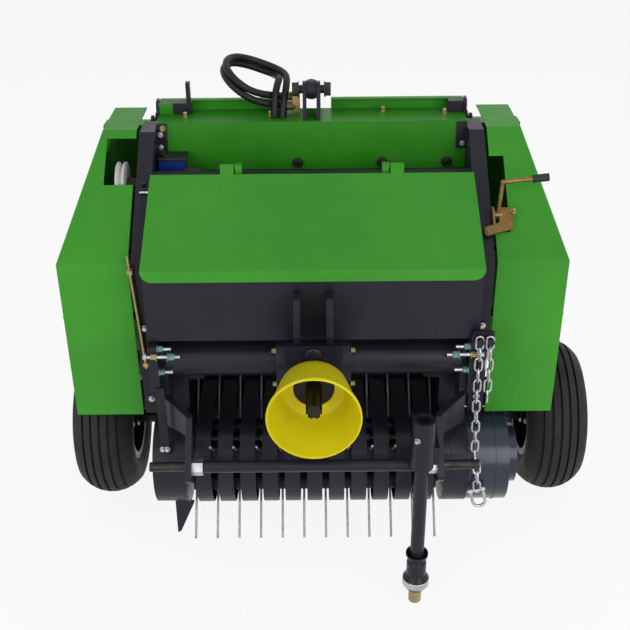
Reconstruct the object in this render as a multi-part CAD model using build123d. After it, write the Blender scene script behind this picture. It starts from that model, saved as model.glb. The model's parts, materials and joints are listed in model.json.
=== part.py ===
"""Mini round hay baler for a three-point hitch: every piece as its own solid, in millimetres."""
import math
import os

from build123d import *

# Layout: x to the right as seen from the front, y rearward, z up from the floor.
# Wheels
TYRE_R = 203.0
TYRE_W = 156.0
CROWN_R = 94.0
BEAD_H = 13.0
RIM_R = 104.0
RIM_HALF = 62.0
RIM_T = 7.0
HUB_HALF = 52.0
HUB_R = 32.0
GROOVE_PITCH = 22.0
GROOVE_W = 5.0
GROOVE_DEPTH = 5.0
GROOVE_COUNT = 5
WHEEL_X_LEFT = -545.0
WHEEL_X_RIGHT = 626.0
AXLE_R = 17.5
AXLE_Y = 3.0

# Chamber and its side plates
SIDE_X = 370.0
SIDE_T = 6.0
POST_W = 36.0
POST_T = 5.0
FRONT_Y = -250.0
FOLD_Z = 783.0
TOP_Y = 18.0
TOP_Z = 1000.0
SPLIT_Y = 198.0
CHAMBER_Y = 130.0
CHAMBER_Z = 590.0
RING_R = 300.0
DRUM_R = 50.0
DRUM_T = 5.0
GATE_DRUM_T = 3.0
RIB_H = 6.0
RIB_W = 10.0
RIB_COUNT = 9
SHAFT_R = 17.5
RUN = 0.3

# Side covers
COVER_IN = 412.0
COVER_OUT = 572.0
COVER_TOP_X = 492.0
COVER_T = 2.0
COVER_FOLD_Z = 785.0
COVER_TOP_Z = 1005.0
COVER_LOW_Z = 382.0
COVER_SKIRT_GAP = 34.0
COVER_SKIRT_Z = 2 * TYRE_R + COVER_SKIRT_GAP

# Tailgate
HINGE_Y = 160.0
HINGE_Z = 975.0
HINGE_R = 14.0
GATE_R = 398.0
GATE_COVER_INSET = 12.0
GATE_X = 382.0
GATE_T = 4.0
GATE_SHEET_T = 2.0
GATE_COVER_T = 1.5
GATE_OPEN = 55.0
GATE_COVER_OUT = 530.0

# Gate cylinder
BASE_Y = 85.0
BASE_RISE = 68.0
EYE_Y = 405.0
EYE_Z = 985.0
BARREL_R = 24.0
BARREL_L = 185.0
ROD_R = 12.0
BASE_PIN_R = 10.0
EYE_PIN_R = 6.5
EYE_HOLE_R = 13.3
EYE_R = 21.0

# Twine box and its lid
BOX_Y = -328.0
BOX_FLOOR_Z = 632.0
BOX_BACK_Y = -226.0
BOX_BEND_Z = 713.0
BOX_SHELF_Y = -102.0
BOX_HALF = SIDE_X
SHEET_T = 3.0
SHELF_Z = 890.0
PANEL_Y = 50.0
PANEL_Z = 1012.0
BASE_Z = PANEL_Z + BASE_RISE
LID_HALF = BOX_HALF + 2
LID_HINGE_X = 196.0
LID_TOP_Y = -77.0
LID_TOP_Z = 934.0
LID_LOW_Y = -338.0
LID_LOW_Z = 793.0
LID_LIP = 28.0
LID_PIN_Y = -66.0
LID_PIN_Z = 942.0

# Drive line and hitch
DRIVE_Y = -288.0
DRIVE_Z = 562.0
TUBE_R = 38.5
TUBE_T = 7.0
CONE_RIM_Y = -536.0
CONE_BACK_Y = -420.0
CONE_RIM_R = 102.0
CONE_BACK_R = 72.0
CONE_T = 3.0
STUB_R = 17.45
STUB_TIP_Y = -510.0
ARM_T = 14.0
ARM_X_TOP = 342.0
ARM_X_LOW = 281.0
ARM_FOLD_BACK = -328.0
ARM_FOLD_FRONT = -398.0
ARM_CORNER_R = 10.0
BAR_Y = -450.0
BAR_Z = 376.0
BAR_R = 14.0
LINK_PIN_R = 11.0
LINK_PIN_END = 370.0
MAST_GAP = 57.0
MAST_T = 14.0
MAST_HOLE_R = 9.75

# Parking stand
LEG_X = 237.0
LEG_Y = -482.0
LEG_R = 16.0
SLEEVE_R = 26.0
SLEEVE_LOW_Z = 398.0
SLEEVE_TOP_Z = 522.0

# Hydraulic hoses: control points of each route, from its fitting to its hole in the upper panel
HOSE_R = 7.0
HOSE_HOLE_Y = 83.5
HOSE_ROUTES = {
    "hose_upper": [(-80, 122, 1054), (-112, 108, 1060), (-149, 88, 1078), (-183, 93, 1103), (-204, 124, 1122),
                   (-205, 162, 1132), (-186, 197, 1131), (-153, 219, 1119), (-115, 222, 1105), (-81, 207, 1095),
                   (-62, 176, 1091), (-59, 141, 1083), (-63, 109, 1064), (-69, 88, 1031), (-71, 83, 990)],
    "hose_lower": [(-80, 113, 1034), (-113, 100, 1041), (-153, 87, 1060), (-189, 96, 1086), (-211, 127, 1106),
                   (-212, 165, 1116), (-193, 200, 1115), (-160, 222, 1103), (-127, 226, 1090), (-98, 214, 1083),
                   (-82, 187, 1082), (-77, 155, 1088), (-80, 126, 1087), (-86, 102, 1068), (-89, 88, 1034),
                   (-89, 84, 990)],
}
PORT_X = -46.0
PORT_W = 18.0
PORT_RISE = 58.0
FITTING_L = 40.0

# Twine pulley, tension box, lever and control rod
PULLEY_X = -445.0
PULLEY_Y = -40.0
PULLEY_Z = 890.0
PULLEY_R = 55.0
TENSION_X = -364.0
TENSION_L = 62.0
LEVER_X = 420.0
LEVER_Y = -165.0
LEVER_Z = 860.0
LEVER_KNEE_X = 424.0
LEVER_KNEE_Z = 939.0
LEVER_END_X = 526.0
LEVER_END_Z = 950.0
GRIP_L = 36.0
STRAP_GAP = 8.0
STRAP_T = 5.0

# Pick-up
REEL_Y = -250.0
REEL_Z = 261.0
BAND_R = 115.0
BAND_W = 36.0
BAND_T = 3.0
TINE_COUNT = 12
TINE_PITCH = 52.8
TINE_TIP_R = 204.0
TINE_R = 2.75
TINE_ROWS = 4
TINE_ROW_ANGLE = 229.0
REEL_TUBE_R = 30.0
REEL_SHAFT_R = 15.0
CARRIER_X = 306.0
CARRIER_T = 10.0
DRUM_END_R = 115.0
DRUM_END_X = 384.0
DRUM_SEAM_X = 430.0
DRUM_STEP_X = 462.0
DRUM_CAP_X = 488.0
DRUM_CAP_R = 72.0

# Safety chain
CHAIN_X = 366.0
CHAIN_GAP = 23.0
CHAIN_PIN_Z = 646.0
CHAIN_Y = -358.0
LINK_L = 23.0
LINK_W = 9.0
LINK_WIRE = 5.0
SHACKLE_L = 34.0
SHACKLE_W = 18.0
SHACKLE_WIRE = 7.0

PARTS = {}


def block(x0, x1, y0, y1, z0, z1):
    """A box between two corners."""
    middle = ((x0 + x1) / 2, (y0 + y1) / 2, (z0 + z1) / 2)
    return Pos(*middle) * Box(abs(x1 - x0), abs(y1 - y0), abs(z1 - z0))


def slab(points, x0, x1, corner=0):
    """A polygon drawn in y and z, run from x0 to x1, with its corners rounded where a radius is given."""
    face = make_face(Polyline(*points, close=True))
    if corner:
        face = fillet(face.vertices(), corner)
    return extrude(Plane.YZ.offset(x0) * face, amount=x1 - x0)


def rod_x(x0, x1, y, z, r):
    """A round bar along x."""
    return Pos((x0 + x1) / 2, y, z) * Rot(0, 90, 0) * Cylinder(r, abs(x1 - x0))


def rod_y(y0, y1, x, z, r):
    """A round bar along y."""
    return Pos(x, (y0 + y1) / 2, z) * Rot(90, 0, 0) * Cylinder(r, abs(y1 - y0))


def rod_z(z0, z1, x, y, r):
    """A round bar along z."""
    return Pos(x, y, (z0 + z1) / 2) * Cylinder(r, abs(z1 - z0))


def rod_between(start, end, r):
    """A round bar from one point to another."""
    a, b = Vector(*start), Vector(*end)
    return Plane(origin=a, z_dir=b - a) * Cylinder(
        r, (b - a).length, align=(Align.CENTER, Align.CENTER, Align.MIN)
    )


def folded(points, t):
    """The outline of a folded sheet of thickness t on the left of an open line of points."""
    sides = []
    for (ay, az), (by, bz) in zip(points, points[1:]):
        length = math.hypot(by - ay, bz - az)
        sides.append((-(bz - az) / length, (by - ay) / length))
    offset = []
    for i, (y, z) in enumerate(points):
        before = sides[max(i - 1, 0)]
        after = sides[min(i, len(sides) - 1)]
        dot = before[0] * after[0] + before[1] * after[1]
        scale = t / (1 + dot)
        offset.append((y + (before[0] + after[0]) * scale, z + (before[1] + after[1]) * scale))
    return list(points) + offset[::-1]


def turned(profile):
    """A ring about the x axis from a closed outline of (x, radius)."""
    face = make_face(Polyline(*profile, close=True))
    return revolve(face, Axis.X)


def mirrored(shape):
    """The left-hand twin of a right-hand piece."""
    return mirror(shape, about=Plane.YZ)


def on_ring(angle, radius=RING_R):
    """The y and z of a point on the chamber's ring."""
    a = math.radians(angle)
    return CHAMBER_Y + radius * math.cos(a), CHAMBER_Z + radius * math.sin(a)


# Roller name and its angle round the chamber, from the rear upwards
FRONT_ROLLERS = {"roller_top": 92, "roller_upper": 130, "roller_front": 160, "roller_feed": 188,
                 "roller_floor": 265}
GATE_ROLLERS = {"gate_roller_1": 60, "gate_roller_2": 30, "gate_roller_3": 0, "gate_roller_4": -30,
                "gate_roller_5": -60}


def roller(angle, half, end, wall):
    """A ribbed bale roller: a tube with pierced end discs and a stub shaft at each end."""
    y, z = on_ring(angle)
    shape = rod_x(-half, half, 0, 0, DRUM_R)
    for i in range(RIB_COUNT):
        rib = block(-half, half, -RIB_W / 2, RIB_W / 2, DRUM_R - 4, DRUM_R + RIB_H)
        shape += Rot(360 / RIB_COUNT * i, 0, 0) * rib
    shape -= rod_x(-half + 8, half - 8, 0, 0, DRUM_R - wall)
    for s in (-1, 1):
        shape += rod_x(s * (half - 8), s * end, 0, 0, SHAFT_R)
        shape -= rod_x(s * (half - 9), s * (half + 1), 0, 32, 8)
    return Pos(0, y, z) * shape


def side_plate(reach):
    """The right chamber wall with its post, hinge pin, stand-offs and the bracket that reaches over the panel."""
    edge = [(FRONT_Y, 371), (FRONT_Y, FOLD_Z), (TOP_Y, TOP_Z), (SPLIT_Y - 3, TOP_Z),
            (SPLIT_Y - 3, 200), (90, 160), (-70, 150), (-110, 240)]
    shape = slab(edge, SIDE_X, SIDE_X + SIDE_T)
    post = folded([(100, TOP_Z), (TOP_Y, TOP_Z), (FRONT_Y, FOLD_Z), (FRONT_Y, 371)], POST_T)
    shape += slab(post, SIDE_X, SIDE_X + POST_W)
    for y, z in ((-225, 640), (120, 640)):
        shape += rod_x(SIDE_X + SIDE_T, COVER_OUT - COVER_T, y, z, 9)
    shape += rod_x(SIDE_X + SIDE_T, GATE_X + GATE_T + 6, HINGE_Y, HINGE_Z, HINGE_R)
    shape += rod_x(GATE_X + GATE_T + 6, GATE_X + GATE_T + 12, HINGE_Y, HINGE_Z, 20)
    shape += slab([(106, TOP_Z - 10), (106, PANEL_Z + 22), (114, PANEL_Z + 34), (136, PANEL_Z + 34),
                   (142, PANEL_Z + 22), (142, TOP_Z - 10)], SIDE_X, SIDE_X + SIDE_T)
    shape += block(reach, SIDE_X, 112, 136, PANEL_Z, PANEL_Z + 28)
    shape += block(SIDE_X - 24, SIDE_X, PANEL_Y - 6, PANEL_Y, 945, PANEL_Z - 2)
    for angle in FRONT_ROLLERS.values():
        y, z = on_ring(angle)
        shape -= rod_x(SIDE_X - 1, SIDE_X + SIDE_T + 1, y, z, SHAFT_R + RUN)
    shape -= rod_x(SIDE_X - 1, SIDE_X + POST_W + 1, REEL_Y, REEL_Z, DRUM_END_R + 10)
    return shape


def side_cover(notch):
    """The right pressed cover: front, slope, top and outer side, open inside and below."""
    outer = [(FRONT_Y, COVER_LOW_Z), (FRONT_Y, COVER_FOLD_Z), (20, COVER_TOP_Z),
             (SPLIT_Y - 3, COVER_TOP_Z), (SPLIT_Y - 3, COVER_SKIRT_Z), (-200, COVER_SKIRT_Z),
             (-222, COVER_LOW_Z)]
    inner = [(FRONT_Y + COVER_T, 300), (FRONT_Y + COVER_T, COVER_FOLD_Z - 1.4),
             (21, COVER_TOP_Z - COVER_T), (SPLIT_Y + 9, COVER_TOP_Z - COVER_T), (SPLIT_Y + 9, 300)]
    lean = (COVER_OUT - COVER_TOP_X) / (COVER_TOP_Z - COVER_FOLD_Z)

    def wedge(shift):
        face = make_face(Polyline((COVER_OUT - shift, COVER_FOLD_Z),
                                  (COVER_TOP_X - shift - 20 * lean, COVER_TOP_Z + 20),
                                  (COVER_OUT + 60, COVER_TOP_Z + 20), (COVER_OUT + 60, COVER_FOLD_Z),
                                  close=True))
        return extrude(Plane.XZ.offset(-400) * face, amount=800)

    body = slab(outer, COVER_IN, COVER_OUT) - wedge(0)
    hollow = slab(inner, COVER_IN - 9, COVER_OUT - COVER_T) - wedge(COVER_T * 1.05)
    x0, x1, y0, y1 = notch
    return body - hollow - block(x0, x1, y0, y1, COVER_FOLD_Z, COVER_TOP_Z + 20)


def gate_outline(radius, front, low_front, top_z):
    """The tailgate's side outline: an arc about the chamber, closed by a line of points in front."""
    top, low = on_ring(70, radius), on_ring(-64, radius)
    arc = ThreePointArc(top, on_ring(0, radius), low)
    return make_face([arc, Polyline(low, *low_front, (front, top_z), top)])


def gate_side():
    """The right tailgate wall with its hinge lug."""
    front = SPLIT_Y + 3
    face = gate_outline(GATE_R, front, [(front, 228)], 975)
    shape = extrude(Plane.YZ.offset(GATE_X) * face, amount=GATE_T)
    shape += rod_x(GATE_X, GATE_X + GATE_T, HINGE_Y, HINGE_Z, 28)
    shape += slab([(HINGE_Y, HINGE_Z - 28), (HINGE_Y, HINGE_Z + 28), (SPLIT_Y + 3, 975), (SPLIT_Y + 60, 960),
                   (SPLIT_Y + 3, 900)], GATE_X, GATE_X + GATE_T)
    shape -= rod_x(GATE_X - 1, GATE_X + GATE_T + 1, HINGE_Y, HINGE_Z, HINGE_R + RUN)
    for angle in GATE_ROLLERS.values():
        y, z = on_ring(angle)
        shape -= rod_x(GATE_X - 1, GATE_X + GATE_T + 1, y, z, SHAFT_R + RUN)
    for y, z in ((240, 720), (240, 450), (466, 640)):
        shape += rod_x(GATE_X + GATE_T, GATE_COVER_OUT - GATE_COVER_T, y, z, 9)
    return shape


def gate_cover():
    """The right tailgate cover, a pan open towards the machine."""
    front = SPLIT_Y + 8
    face = gate_outline(GATE_R - GATE_COVER_INSET, front, [(245, 262), (front, 335)], 955)
    pan = extrude(Plane.YZ.offset(COVER_IN) * face, amount=GATE_COVER_OUT - COVER_IN)
    hollow = Plane.YZ.offset(COVER_IN - 1) * offset(face, -GATE_COVER_T, kind=Kind.INTERSECTION)
    return pan - extrude(hollow, amount=GATE_COVER_OUT - GATE_COVER_T - COVER_IN + 1)


def hitch_arm():
    """The right arm: a plate folded inward on two upright lines and cut to its side outline."""
    outer = ARM_X_TOP + ARM_T / 2
    inward = ARM_X_TOP - ARM_X_LOW
    line = [(-200, outer), (ARM_FOLD_BACK, outer), (ARM_FOLD_FRONT, outer - inward), (-540, outer - inward)]
    plan = make_face(Polyline(*[(x, y) for y, x in folded(line, ARM_T)], close=True))
    outline = [(-250, 604), (-318, 604), (-318, 487), (-402, 474), (-495, 367), (-450, 328), (-386, 420),
               (-303, 400), (-250, 446)]
    shape = extrude(Plane.XY.offset(300) * plan, amount=330) & slab(outline, 200, SIDE_X, ARM_CORNER_R)
    shape -= rod_x(ARM_X_LOW - 21, ARM_X_LOW + 16, REEL_Y, REEL_Z, TINE_TIP_R + 7)
    return shape - rod_x(ARM_X_LOW - 20, ARM_X_LOW + 20, BAR_Y, BAR_Z, LINK_PIN_R + RUN)


def tyre_section():
    """The outline of a tyre in x and radius: round crown, bulged sidewalls and flat beads."""
    half = TYRE_W / 2
    edge = half - 4
    shoulder = TYRE_R - CROWN_R + math.sqrt(CROWN_R ** 2 - edge ** 2)
    heel = RIM_R + BEAD_H
    crown = ThreePointArc((-edge, shoulder), (0, TYRE_R), (edge, shoulder))
    right = ThreePointArc((edge, shoulder), (half, (shoulder + heel) / 2 + 4), (RIM_HALF, heel))
    left = ThreePointArc((-RIM_HALF, heel), (-half, (shoulder + heel) / 2 + 4), (-edge, shoulder))
    beads = Polyline((RIM_HALF, heel), (RIM_HALF, RIM_R), (-RIM_HALF, RIM_R), (-RIM_HALF, heel))
    return make_face([crown, right, beads, left])


def wheel_pieces(x):
    """A ribbed tyre and its rim, centred on x."""
    tyre = revolve(tyre_section(), Axis.X)
    for i in range(GROOVE_COUNT):
        middle = (i - (GROOVE_COUNT - 1) / 2) * GROOVE_PITCH
        floor = TYRE_R - CROWN_R + math.sqrt(CROWN_R ** 2 - middle ** 2) - GROOVE_DEPTH
        a, b = middle - GROOVE_W / 2, middle + GROOVE_W / 2
        tyre -= turned([(a, floor), (a, TYRE_R + 1), (b, TYRE_R + 1), (b, floor)])
    inside = RIM_R - RIM_T
    rim = turned([(-RIM_HALF, inside), (-RIM_HALF, RIM_R), (RIM_HALF, RIM_R), (RIM_HALF, inside)])
    for s in (-1, 1):
        flange = s * (RIM_HALF + 4)
        rim += turned([(s * RIM_HALF, inside), (s * RIM_HALF, RIM_R + BEAD_H - 2), (flange, RIM_R + BEAD_H - 2),
                       (flange, inside)])
    rim += turned([(-4, HUB_R - 8), (-4, inside + 4), (4, inside + 4), (4, HUB_R - 8)])
    rim += turned([(-HUB_HALF, AXLE_R + RUN), (-HUB_HALF, HUB_R), (HUB_HALF, HUB_R), (HUB_HALF, AXLE_R + RUN)])
    place = Pos(x, AXLE_Y, TYRE_R)
    return place * tyre, place * rim


def axle(x, inner):
    """A stub axle from the side plate out to the wheel, with its flange, collar and end cap."""
    s = 1 if x > 0 else -1
    near, far = abs(x) - HUB_HALF - 6, abs(x) + HUB_HALF + 6
    shape = rod_x(s * inner, s * far, AXLE_Y, TYRE_R, AXLE_R)
    shape += rod_x(s * inner, s * (inner + 12), AXLE_Y, TYRE_R, 46)
    shape += rod_x(s * (near - 8), s * near, AXLE_Y, TYRE_R, HUB_R - 6)
    return shape + rod_x(s * far, s * (far + 8), AXLE_Y, TYRE_R, HUB_R - 8)


def stripper_bands():
    """The row of U-shaped bands, joined at the back by two bars and the feed floor."""
    outer = block(0, BAND_W, REEL_Y, -60, REEL_Z - BAND_R, REEL_Z + BAND_R)
    outer += rod_x(0, BAND_W, REEL_Y, REEL_Z, BAND_R)
    hollow_r = BAND_R - BAND_T
    hollow = block(-1, BAND_W + 1, REEL_Y, -50, REEL_Z - hollow_r, REEL_Z + hollow_r)
    hollow += rod_x(-1, BAND_W + 1, REEL_Y, REEL_Z, hollow_r)
    band = outer - hollow
    shape = block(-CARRIER_X, CARRIER_X, -72, -48, REEL_Z + hollow_r - 8, REEL_Z + BAND_R + 12)
    shape += block(-CARRIER_X, CARRIER_X, -72, -52, REEL_Z - BAND_R - 9, REEL_Z - hollow_r + 9)
    shape += slab(folded([(30, 350), (-48, 376)], SHEET_T), -CARRIER_X, CARRIER_X)
    for i in range(TINE_COUNT - 1):
        x = (i + 0.5 - (TINE_COUNT - 1) / 2) * TINE_PITCH - BAND_W / 2
        shape += Pos(x, 0, 0) * band
    return shape


def reel():
    """The pick-up reel: tube, shaft and four rows of spring tines."""
    shape = rod_x(-298, 298, 0, 0, REEL_TUBE_R) + rod_x(-336, 336, 0, 0, REEL_SHAFT_R)
    tines = []
    for row in range(TINE_ROWS):
        turn = Rot(TINE_ROW_ANGLE + 360 / TINE_ROWS * row, 0, 0)
        for i in range(TINE_COUNT):
            x = (i - (TINE_COUNT - 1) / 2) * TINE_PITCH
            tines.append(turn * rod_y(REEL_TUBE_R - 8, TINE_TIP_R, x, 0, TINE_R))
    return Pos(0, REEL_Y, REEL_Z) * (shape + tines)


def carrier(s):
    """A pick-up end plate with its boss to the chamber wall."""
    plate = rod_x(CARRIER_X, CARRIER_X + CARRIER_T, REEL_Y, REEL_Z, DRUM_END_R)
    plate += slab([(REEL_Y, REEL_Z - DRUM_END_R), (-40, 150), (-40, 425), (-140, 432),
                   (REEL_Y, REEL_Z + DRUM_END_R)], CARRIER_X, CARRIER_X + CARRIER_T)
    plate += rod_x(CARRIER_X + CARRIER_T, SIDE_X, -100, 400, 22)
    plate -= rod_x(CARRIER_X - 1, CARRIER_X + CARRIER_T + 1, REEL_Y, REEL_Z, REEL_SHAFT_R + RUN)
    return plate if s > 0 else mirrored(plate)


def end_drum(steps, s):
    """A stepped guard drum outside a pick-up end plate, from a table of outer x and shrinking radius."""
    start = CARRIER_X + CARRIER_T
    profile = [(start, steps[0][1] - COVER_T), (start, steps[0][1])]
    inside = []
    for i, (x, r) in enumerate(steps):
        profile += [(start, r), (x, r)] if i else [(x, r)]
        inside += [(start - COVER_T if i else start, r - COVER_T), (x - COVER_T, r - COVER_T)]
        start = x
    profile += [(start, 0), (start - COVER_T, 0)] + inside[::-1][:-1]
    shape = turned(profile)
    if len(steps) > 1:
        seam = steps[0][1]
        shape += turned([(DRUM_SEAM_X, seam - 1), (DRUM_SEAM_X, seam + 2), (DRUM_SEAM_X + 5, seam + 2),
                         (DRUM_SEAM_X + 5, seam - 1)])
    shape = Pos(0, REEL_Y, REEL_Z) * shape
    return shape if s > 0 else mirrored(shape)


def chain_link(length, width, wire):
    """A chain link lying in x and z, as an eight-sided ring."""
    cut = width * 0.3
    rings = []
    for grow in (0, wire):
        hx, hz, c = width / 2 + grow, length / 2 + grow, cut + grow * 0.4
        rings.append([(-hx + c, -hz), (hx - c, -hz), (hx, -hz + c), (hx, hz - c), (hx - c, hz),
                      (-hx + c, hz), (-hx, hz - c), (-hx, -hz + c)])
    face = make_face(Polyline(*rings[1], close=True)) - make_face(Polyline(*rings[0], close=True))
    return extrude(Plane.XZ * face, amount=wire / 2, both=True)


def chain_along(path):
    """Links laid along a line of points at an even pitch, every other one turned a quarter."""
    pitch = LINK_L + 0.8
    line = Polyline(*path)
    shape = None
    for i in range(int(line.length / pitch)):
        at = line @ ((i + 0.5) * pitch / line.length)
        way = line % ((i + 0.5) * pitch / line.length)
        place = Plane(origin=at, x_dir=(1, 0, 0), z_dir=way)
        link = place * Rot(0, 0, 90 * (i % 2)) * chain_link(LINK_L, LINK_W, LINK_WIRE)
        shape = link if shape is None else shape + link
    return shape, at, 90 * ((i + 1) % 2)


def hose(route):
    """A hose along its route: straight runs joined by arcs as large as the runs allow."""
    points = [Vector(*p) for p in route]
    radii = []
    for before, at, after in zip(points, points[1:], points[2:]):
        turn = math.radians((at - before).get_angle(after - at))
        run = min((at - before).length, (after - at).length)
        radii.append(0.45 * run / math.tan(turn / 2))
    path = FilletPolyline(*points, radius=radii)
    section = Plane(origin=points[0], z_dir=points[1] - points[0]) * Circle(HOSE_R)
    shape = sweep(section, path=path)
    area = math.pi * HOSE_R ** 2
    print("hose length", round(path.length), "least radius", round(min(radii)),
          "volume ratio", round(shape.volume / area / path.length, 4))
    return shape


# Frame
PARTS["side_plate_right"] = side_plate(332)
# The left bracket reaches further in and carries an upright flat bar
PARTS["side_plate_left"] = mirrored(side_plate(291)) + block(-303, -293, 118, 134, PANEL_Z + 28, PANEL_Z + 76)
PARTS["side_cover_right"] = side_cover((COVER_IN - 1, 445, -194, -39))
PARTS["side_cover_left"] = mirrored(side_cover((COVER_IN - 1, 480, -94, 4)))

# Twine box: folded floor, back and shelf, with its ends and the lid's hinge rail
shell = folded([(PANEL_Y, SHELF_Z), (BOX_SHELF_Y, SHELF_Z), (BOX_BACK_Y, BOX_BEND_Z),
                (BOX_BACK_Y, BOX_FLOOR_Z), (BOX_Y, BOX_FLOOR_Z), (BOX_Y, 788)], -SHEET_T)
twine_box = slab(shell, -BOX_HALF, BOX_HALF)
end = [(BOX_Y, BOX_FLOOR_Z), (BOX_Y, 788), (BOX_SHELF_Y, 917), (BOX_SHELF_Y, SHELF_Z),
       (BOX_BACK_Y, BOX_BEND_Z), (BOX_BACK_Y, BOX_FLOOR_Z)]
for s in (-1, 1):
    twine_box += slab(end, s * (BOX_HALF - SHEET_T), s * BOX_HALF)
twine_box += block(-BOX_HALF, BOX_HALF, -78, -54, SHELF_Z, 930)
for s in (-1, 1):
    hinge_x = s * LID_HINGE_X
    twine_box += block(hinge_x - s * 34, hinge_x - s * 18, -76, -56, 930, LID_PIN_Z + 7)
    twine_box += rod_x(hinge_x - s * 18, hinge_x + s * 18, LID_PIN_Y, LID_PIN_Z, 4)
PARTS["twine_box"] = twine_box

lid_line = [(LID_LOW_Y, LID_LOW_Z - LID_LIP), (LID_LOW_Y, LID_LOW_Z), (LID_TOP_Y - 8, LID_TOP_Z - 4)]
lid = slab(folded(lid_line, -SHEET_T), -LID_HALF, LID_HALF)
for s in (-1, 1):
    x0, x1 = s * (LID_HINGE_X - 16), s * (LID_HINGE_X + 16)
    leaf = rod_x(x0, x1, LID_PIN_Y, LID_PIN_Z, 8)
    leaf += slab([(LID_PIN_Y, LID_PIN_Z + 8), (LID_PIN_Y, LID_PIN_Z - 2), (-112, 912), (-114, 916)], x0, x1)
    lid += leaf - rod_x(x0 - s * 10, x1 + s * 8, LID_PIN_Y, LID_PIN_Z, 4 + RUN)
PARTS["twine_box_lid"] = lid

# Upper panel: front face, flat top and the raised strip in front of the tailgate
panel = slab(folded([(PANEL_Y, SHELF_Z), (PANEL_Y, PANEL_Z), (155, PANEL_Z)], -SHEET_T), -SIDE_X, SIDE_X)
strip = slab(folded([(155, PANEL_Z - SHEET_T), (155, 1040), (140, 1040)], SHEET_T), -SIDE_X, SIDE_X)
panel += strip - block(-60, 48, 130, 210, PANEL_Z, 1050)
ends = [route[-1][0] for route in HOSE_ROUTES.values()]
slot = block(min(ends), max(ends), HOSE_HOLE_Y - 10, HOSE_HOLE_Y + 10, PANEL_Z - 9, PANEL_Z + 9)
for x in ends:
    slot += rod_z(PANEL_Z - 9, PANEL_Z + 9, x, HOSE_HOLE_Y, 10)
panel -= slot
PARTS["upper_panel"] = panel

# Drive line
gearbox = block(-66, 66, -352, -234, 488, 628)
for s in (-1, 1):
    gearbox += rod_x(s * 66, s * 84, DRIVE_Y, DRIVE_Z, 62)
gearbox += rod_y(CONE_BACK_Y + 3, -352, 0, DRIVE_Z, 44)
gearbox += rod_y(-358, -352, 0, 612, 14)
gearbox -= rod_y(CONE_BACK_Y - 5, -366, 0, DRIVE_Z, STUB_R + RUN)
PARTS["gearbox"] = gearbox
tubes = []
flanges = []
for s in (-1, 1):
    tube = rod_x(s * 84, s * (ARM_X_TOP - ARM_T / 2), DRIVE_Y, DRIVE_Z, TUBE_R)
    tubes.append(tube - rod_x(s * 83, s * ARM_X_TOP, DRIVE_Y, DRIVE_Z, TUBE_R - TUBE_T))
    flange = [(-346, 498), (-346, 626), (-228, 626), (-228, 498)]
    flanges.append(slab(flange, s * (ARM_X_TOP + ARM_T / 2), s * SIDE_X))
PARTS["drive_tubes"] = tubes[0] + tubes[1]
# The lug on the right flange and the two headed pins that carry the safety chain
lug = extrude(Plane.XZ.offset(338) * make_face(Polyline(
    (350, 600), (370, 600), (400, 634), (400, 658), (354, 658), (350, 640), close=True)), amount=8)
for x in (CHAIN_X, CHAIN_X + CHAIN_GAP):
    lug += rod_y(CHAIN_Y - 11, -346, x, CHAIN_PIN_Z, 4) + rod_y(CHAIN_Y - 15, CHAIN_Y - 11, x, CHAIN_PIN_Z, 8)
PARTS["tube_flanges"] = flanges[0] + (flanges[1] + lug)
PARTS["hitch_arm_right"] = hitch_arm()
PARTS["hitch_arm_left"] = mirrored(PARTS["hitch_arm_right"])

stub = rod_y(STUB_TIP_Y, -367, 0, DRIVE_Z, STUB_R)
for i in range(6):
    groove = block(-3.5, 3.5, STUB_TIP_Y - 1, -440, STUB_R - 3, STUB_R + 3)
    stub -= Pos(0, 0, DRIVE_Z) * Rot(0, 60 * i, 0) * groove
PARTS["pto_shaft"] = stub

cone = revolve(make_face(Plane.YZ * Polyline(
    (CONE_RIM_Y, CONE_RIM_R), (CONE_BACK_Y, CONE_BACK_R), (CONE_BACK_Y, 44), (CONE_BACK_Y + 3, 44),
    (CONE_BACK_Y + 3, CONE_BACK_R + 3), (CONE_RIM_Y, CONE_RIM_R + CONE_T), close=True)), Axis.Y)
PARTS["pto_shield"] = Pos(0, 0, DRIVE_Z) * cone

mast = [(BOX_Y, 640), (BOX_Y, 757), (-372, 757), (-402, 732), (-402, 680), (-372, 648)]
ears = None
for s in (-1, 1):
    ear = slab(mast, s * MAST_GAP / 2, s * (MAST_GAP / 2 + MAST_T))
    ear -= rod_x(-60, 60, -374, 706, MAST_HOLE_R)
    ears = ear if ears is None else ears + ear
PARTS["top_link_mast"] = ears

bar = rod_x(-ARM_X_LOW + ARM_T / 2, ARM_X_LOW - ARM_T / 2, BAR_Y, BAR_Z, BAR_R)
bar += rod_x(-LINK_PIN_END, LINK_PIN_END, BAR_Y, BAR_Z, LINK_PIN_R - 1)
arm_face = ARM_X_LOW + ARM_T / 2
for s in (-1, 1):
    bar += rod_x(s * (arm_face - ARM_T), s * arm_face, BAR_Y, BAR_Z, LINK_PIN_R)
    bar += rod_x(s * (arm_face + 2), s * LINK_PIN_END, BAR_Y, BAR_Z, LINK_PIN_R)
    nut = extrude(Plane.YZ.offset(s * 274) * Pos(BAR_Y, BAR_Z) * RegularPolygon(20, 6), amount=-s * 24)
    bar += nut
PARTS["hitch_bar"] = bar

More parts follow.
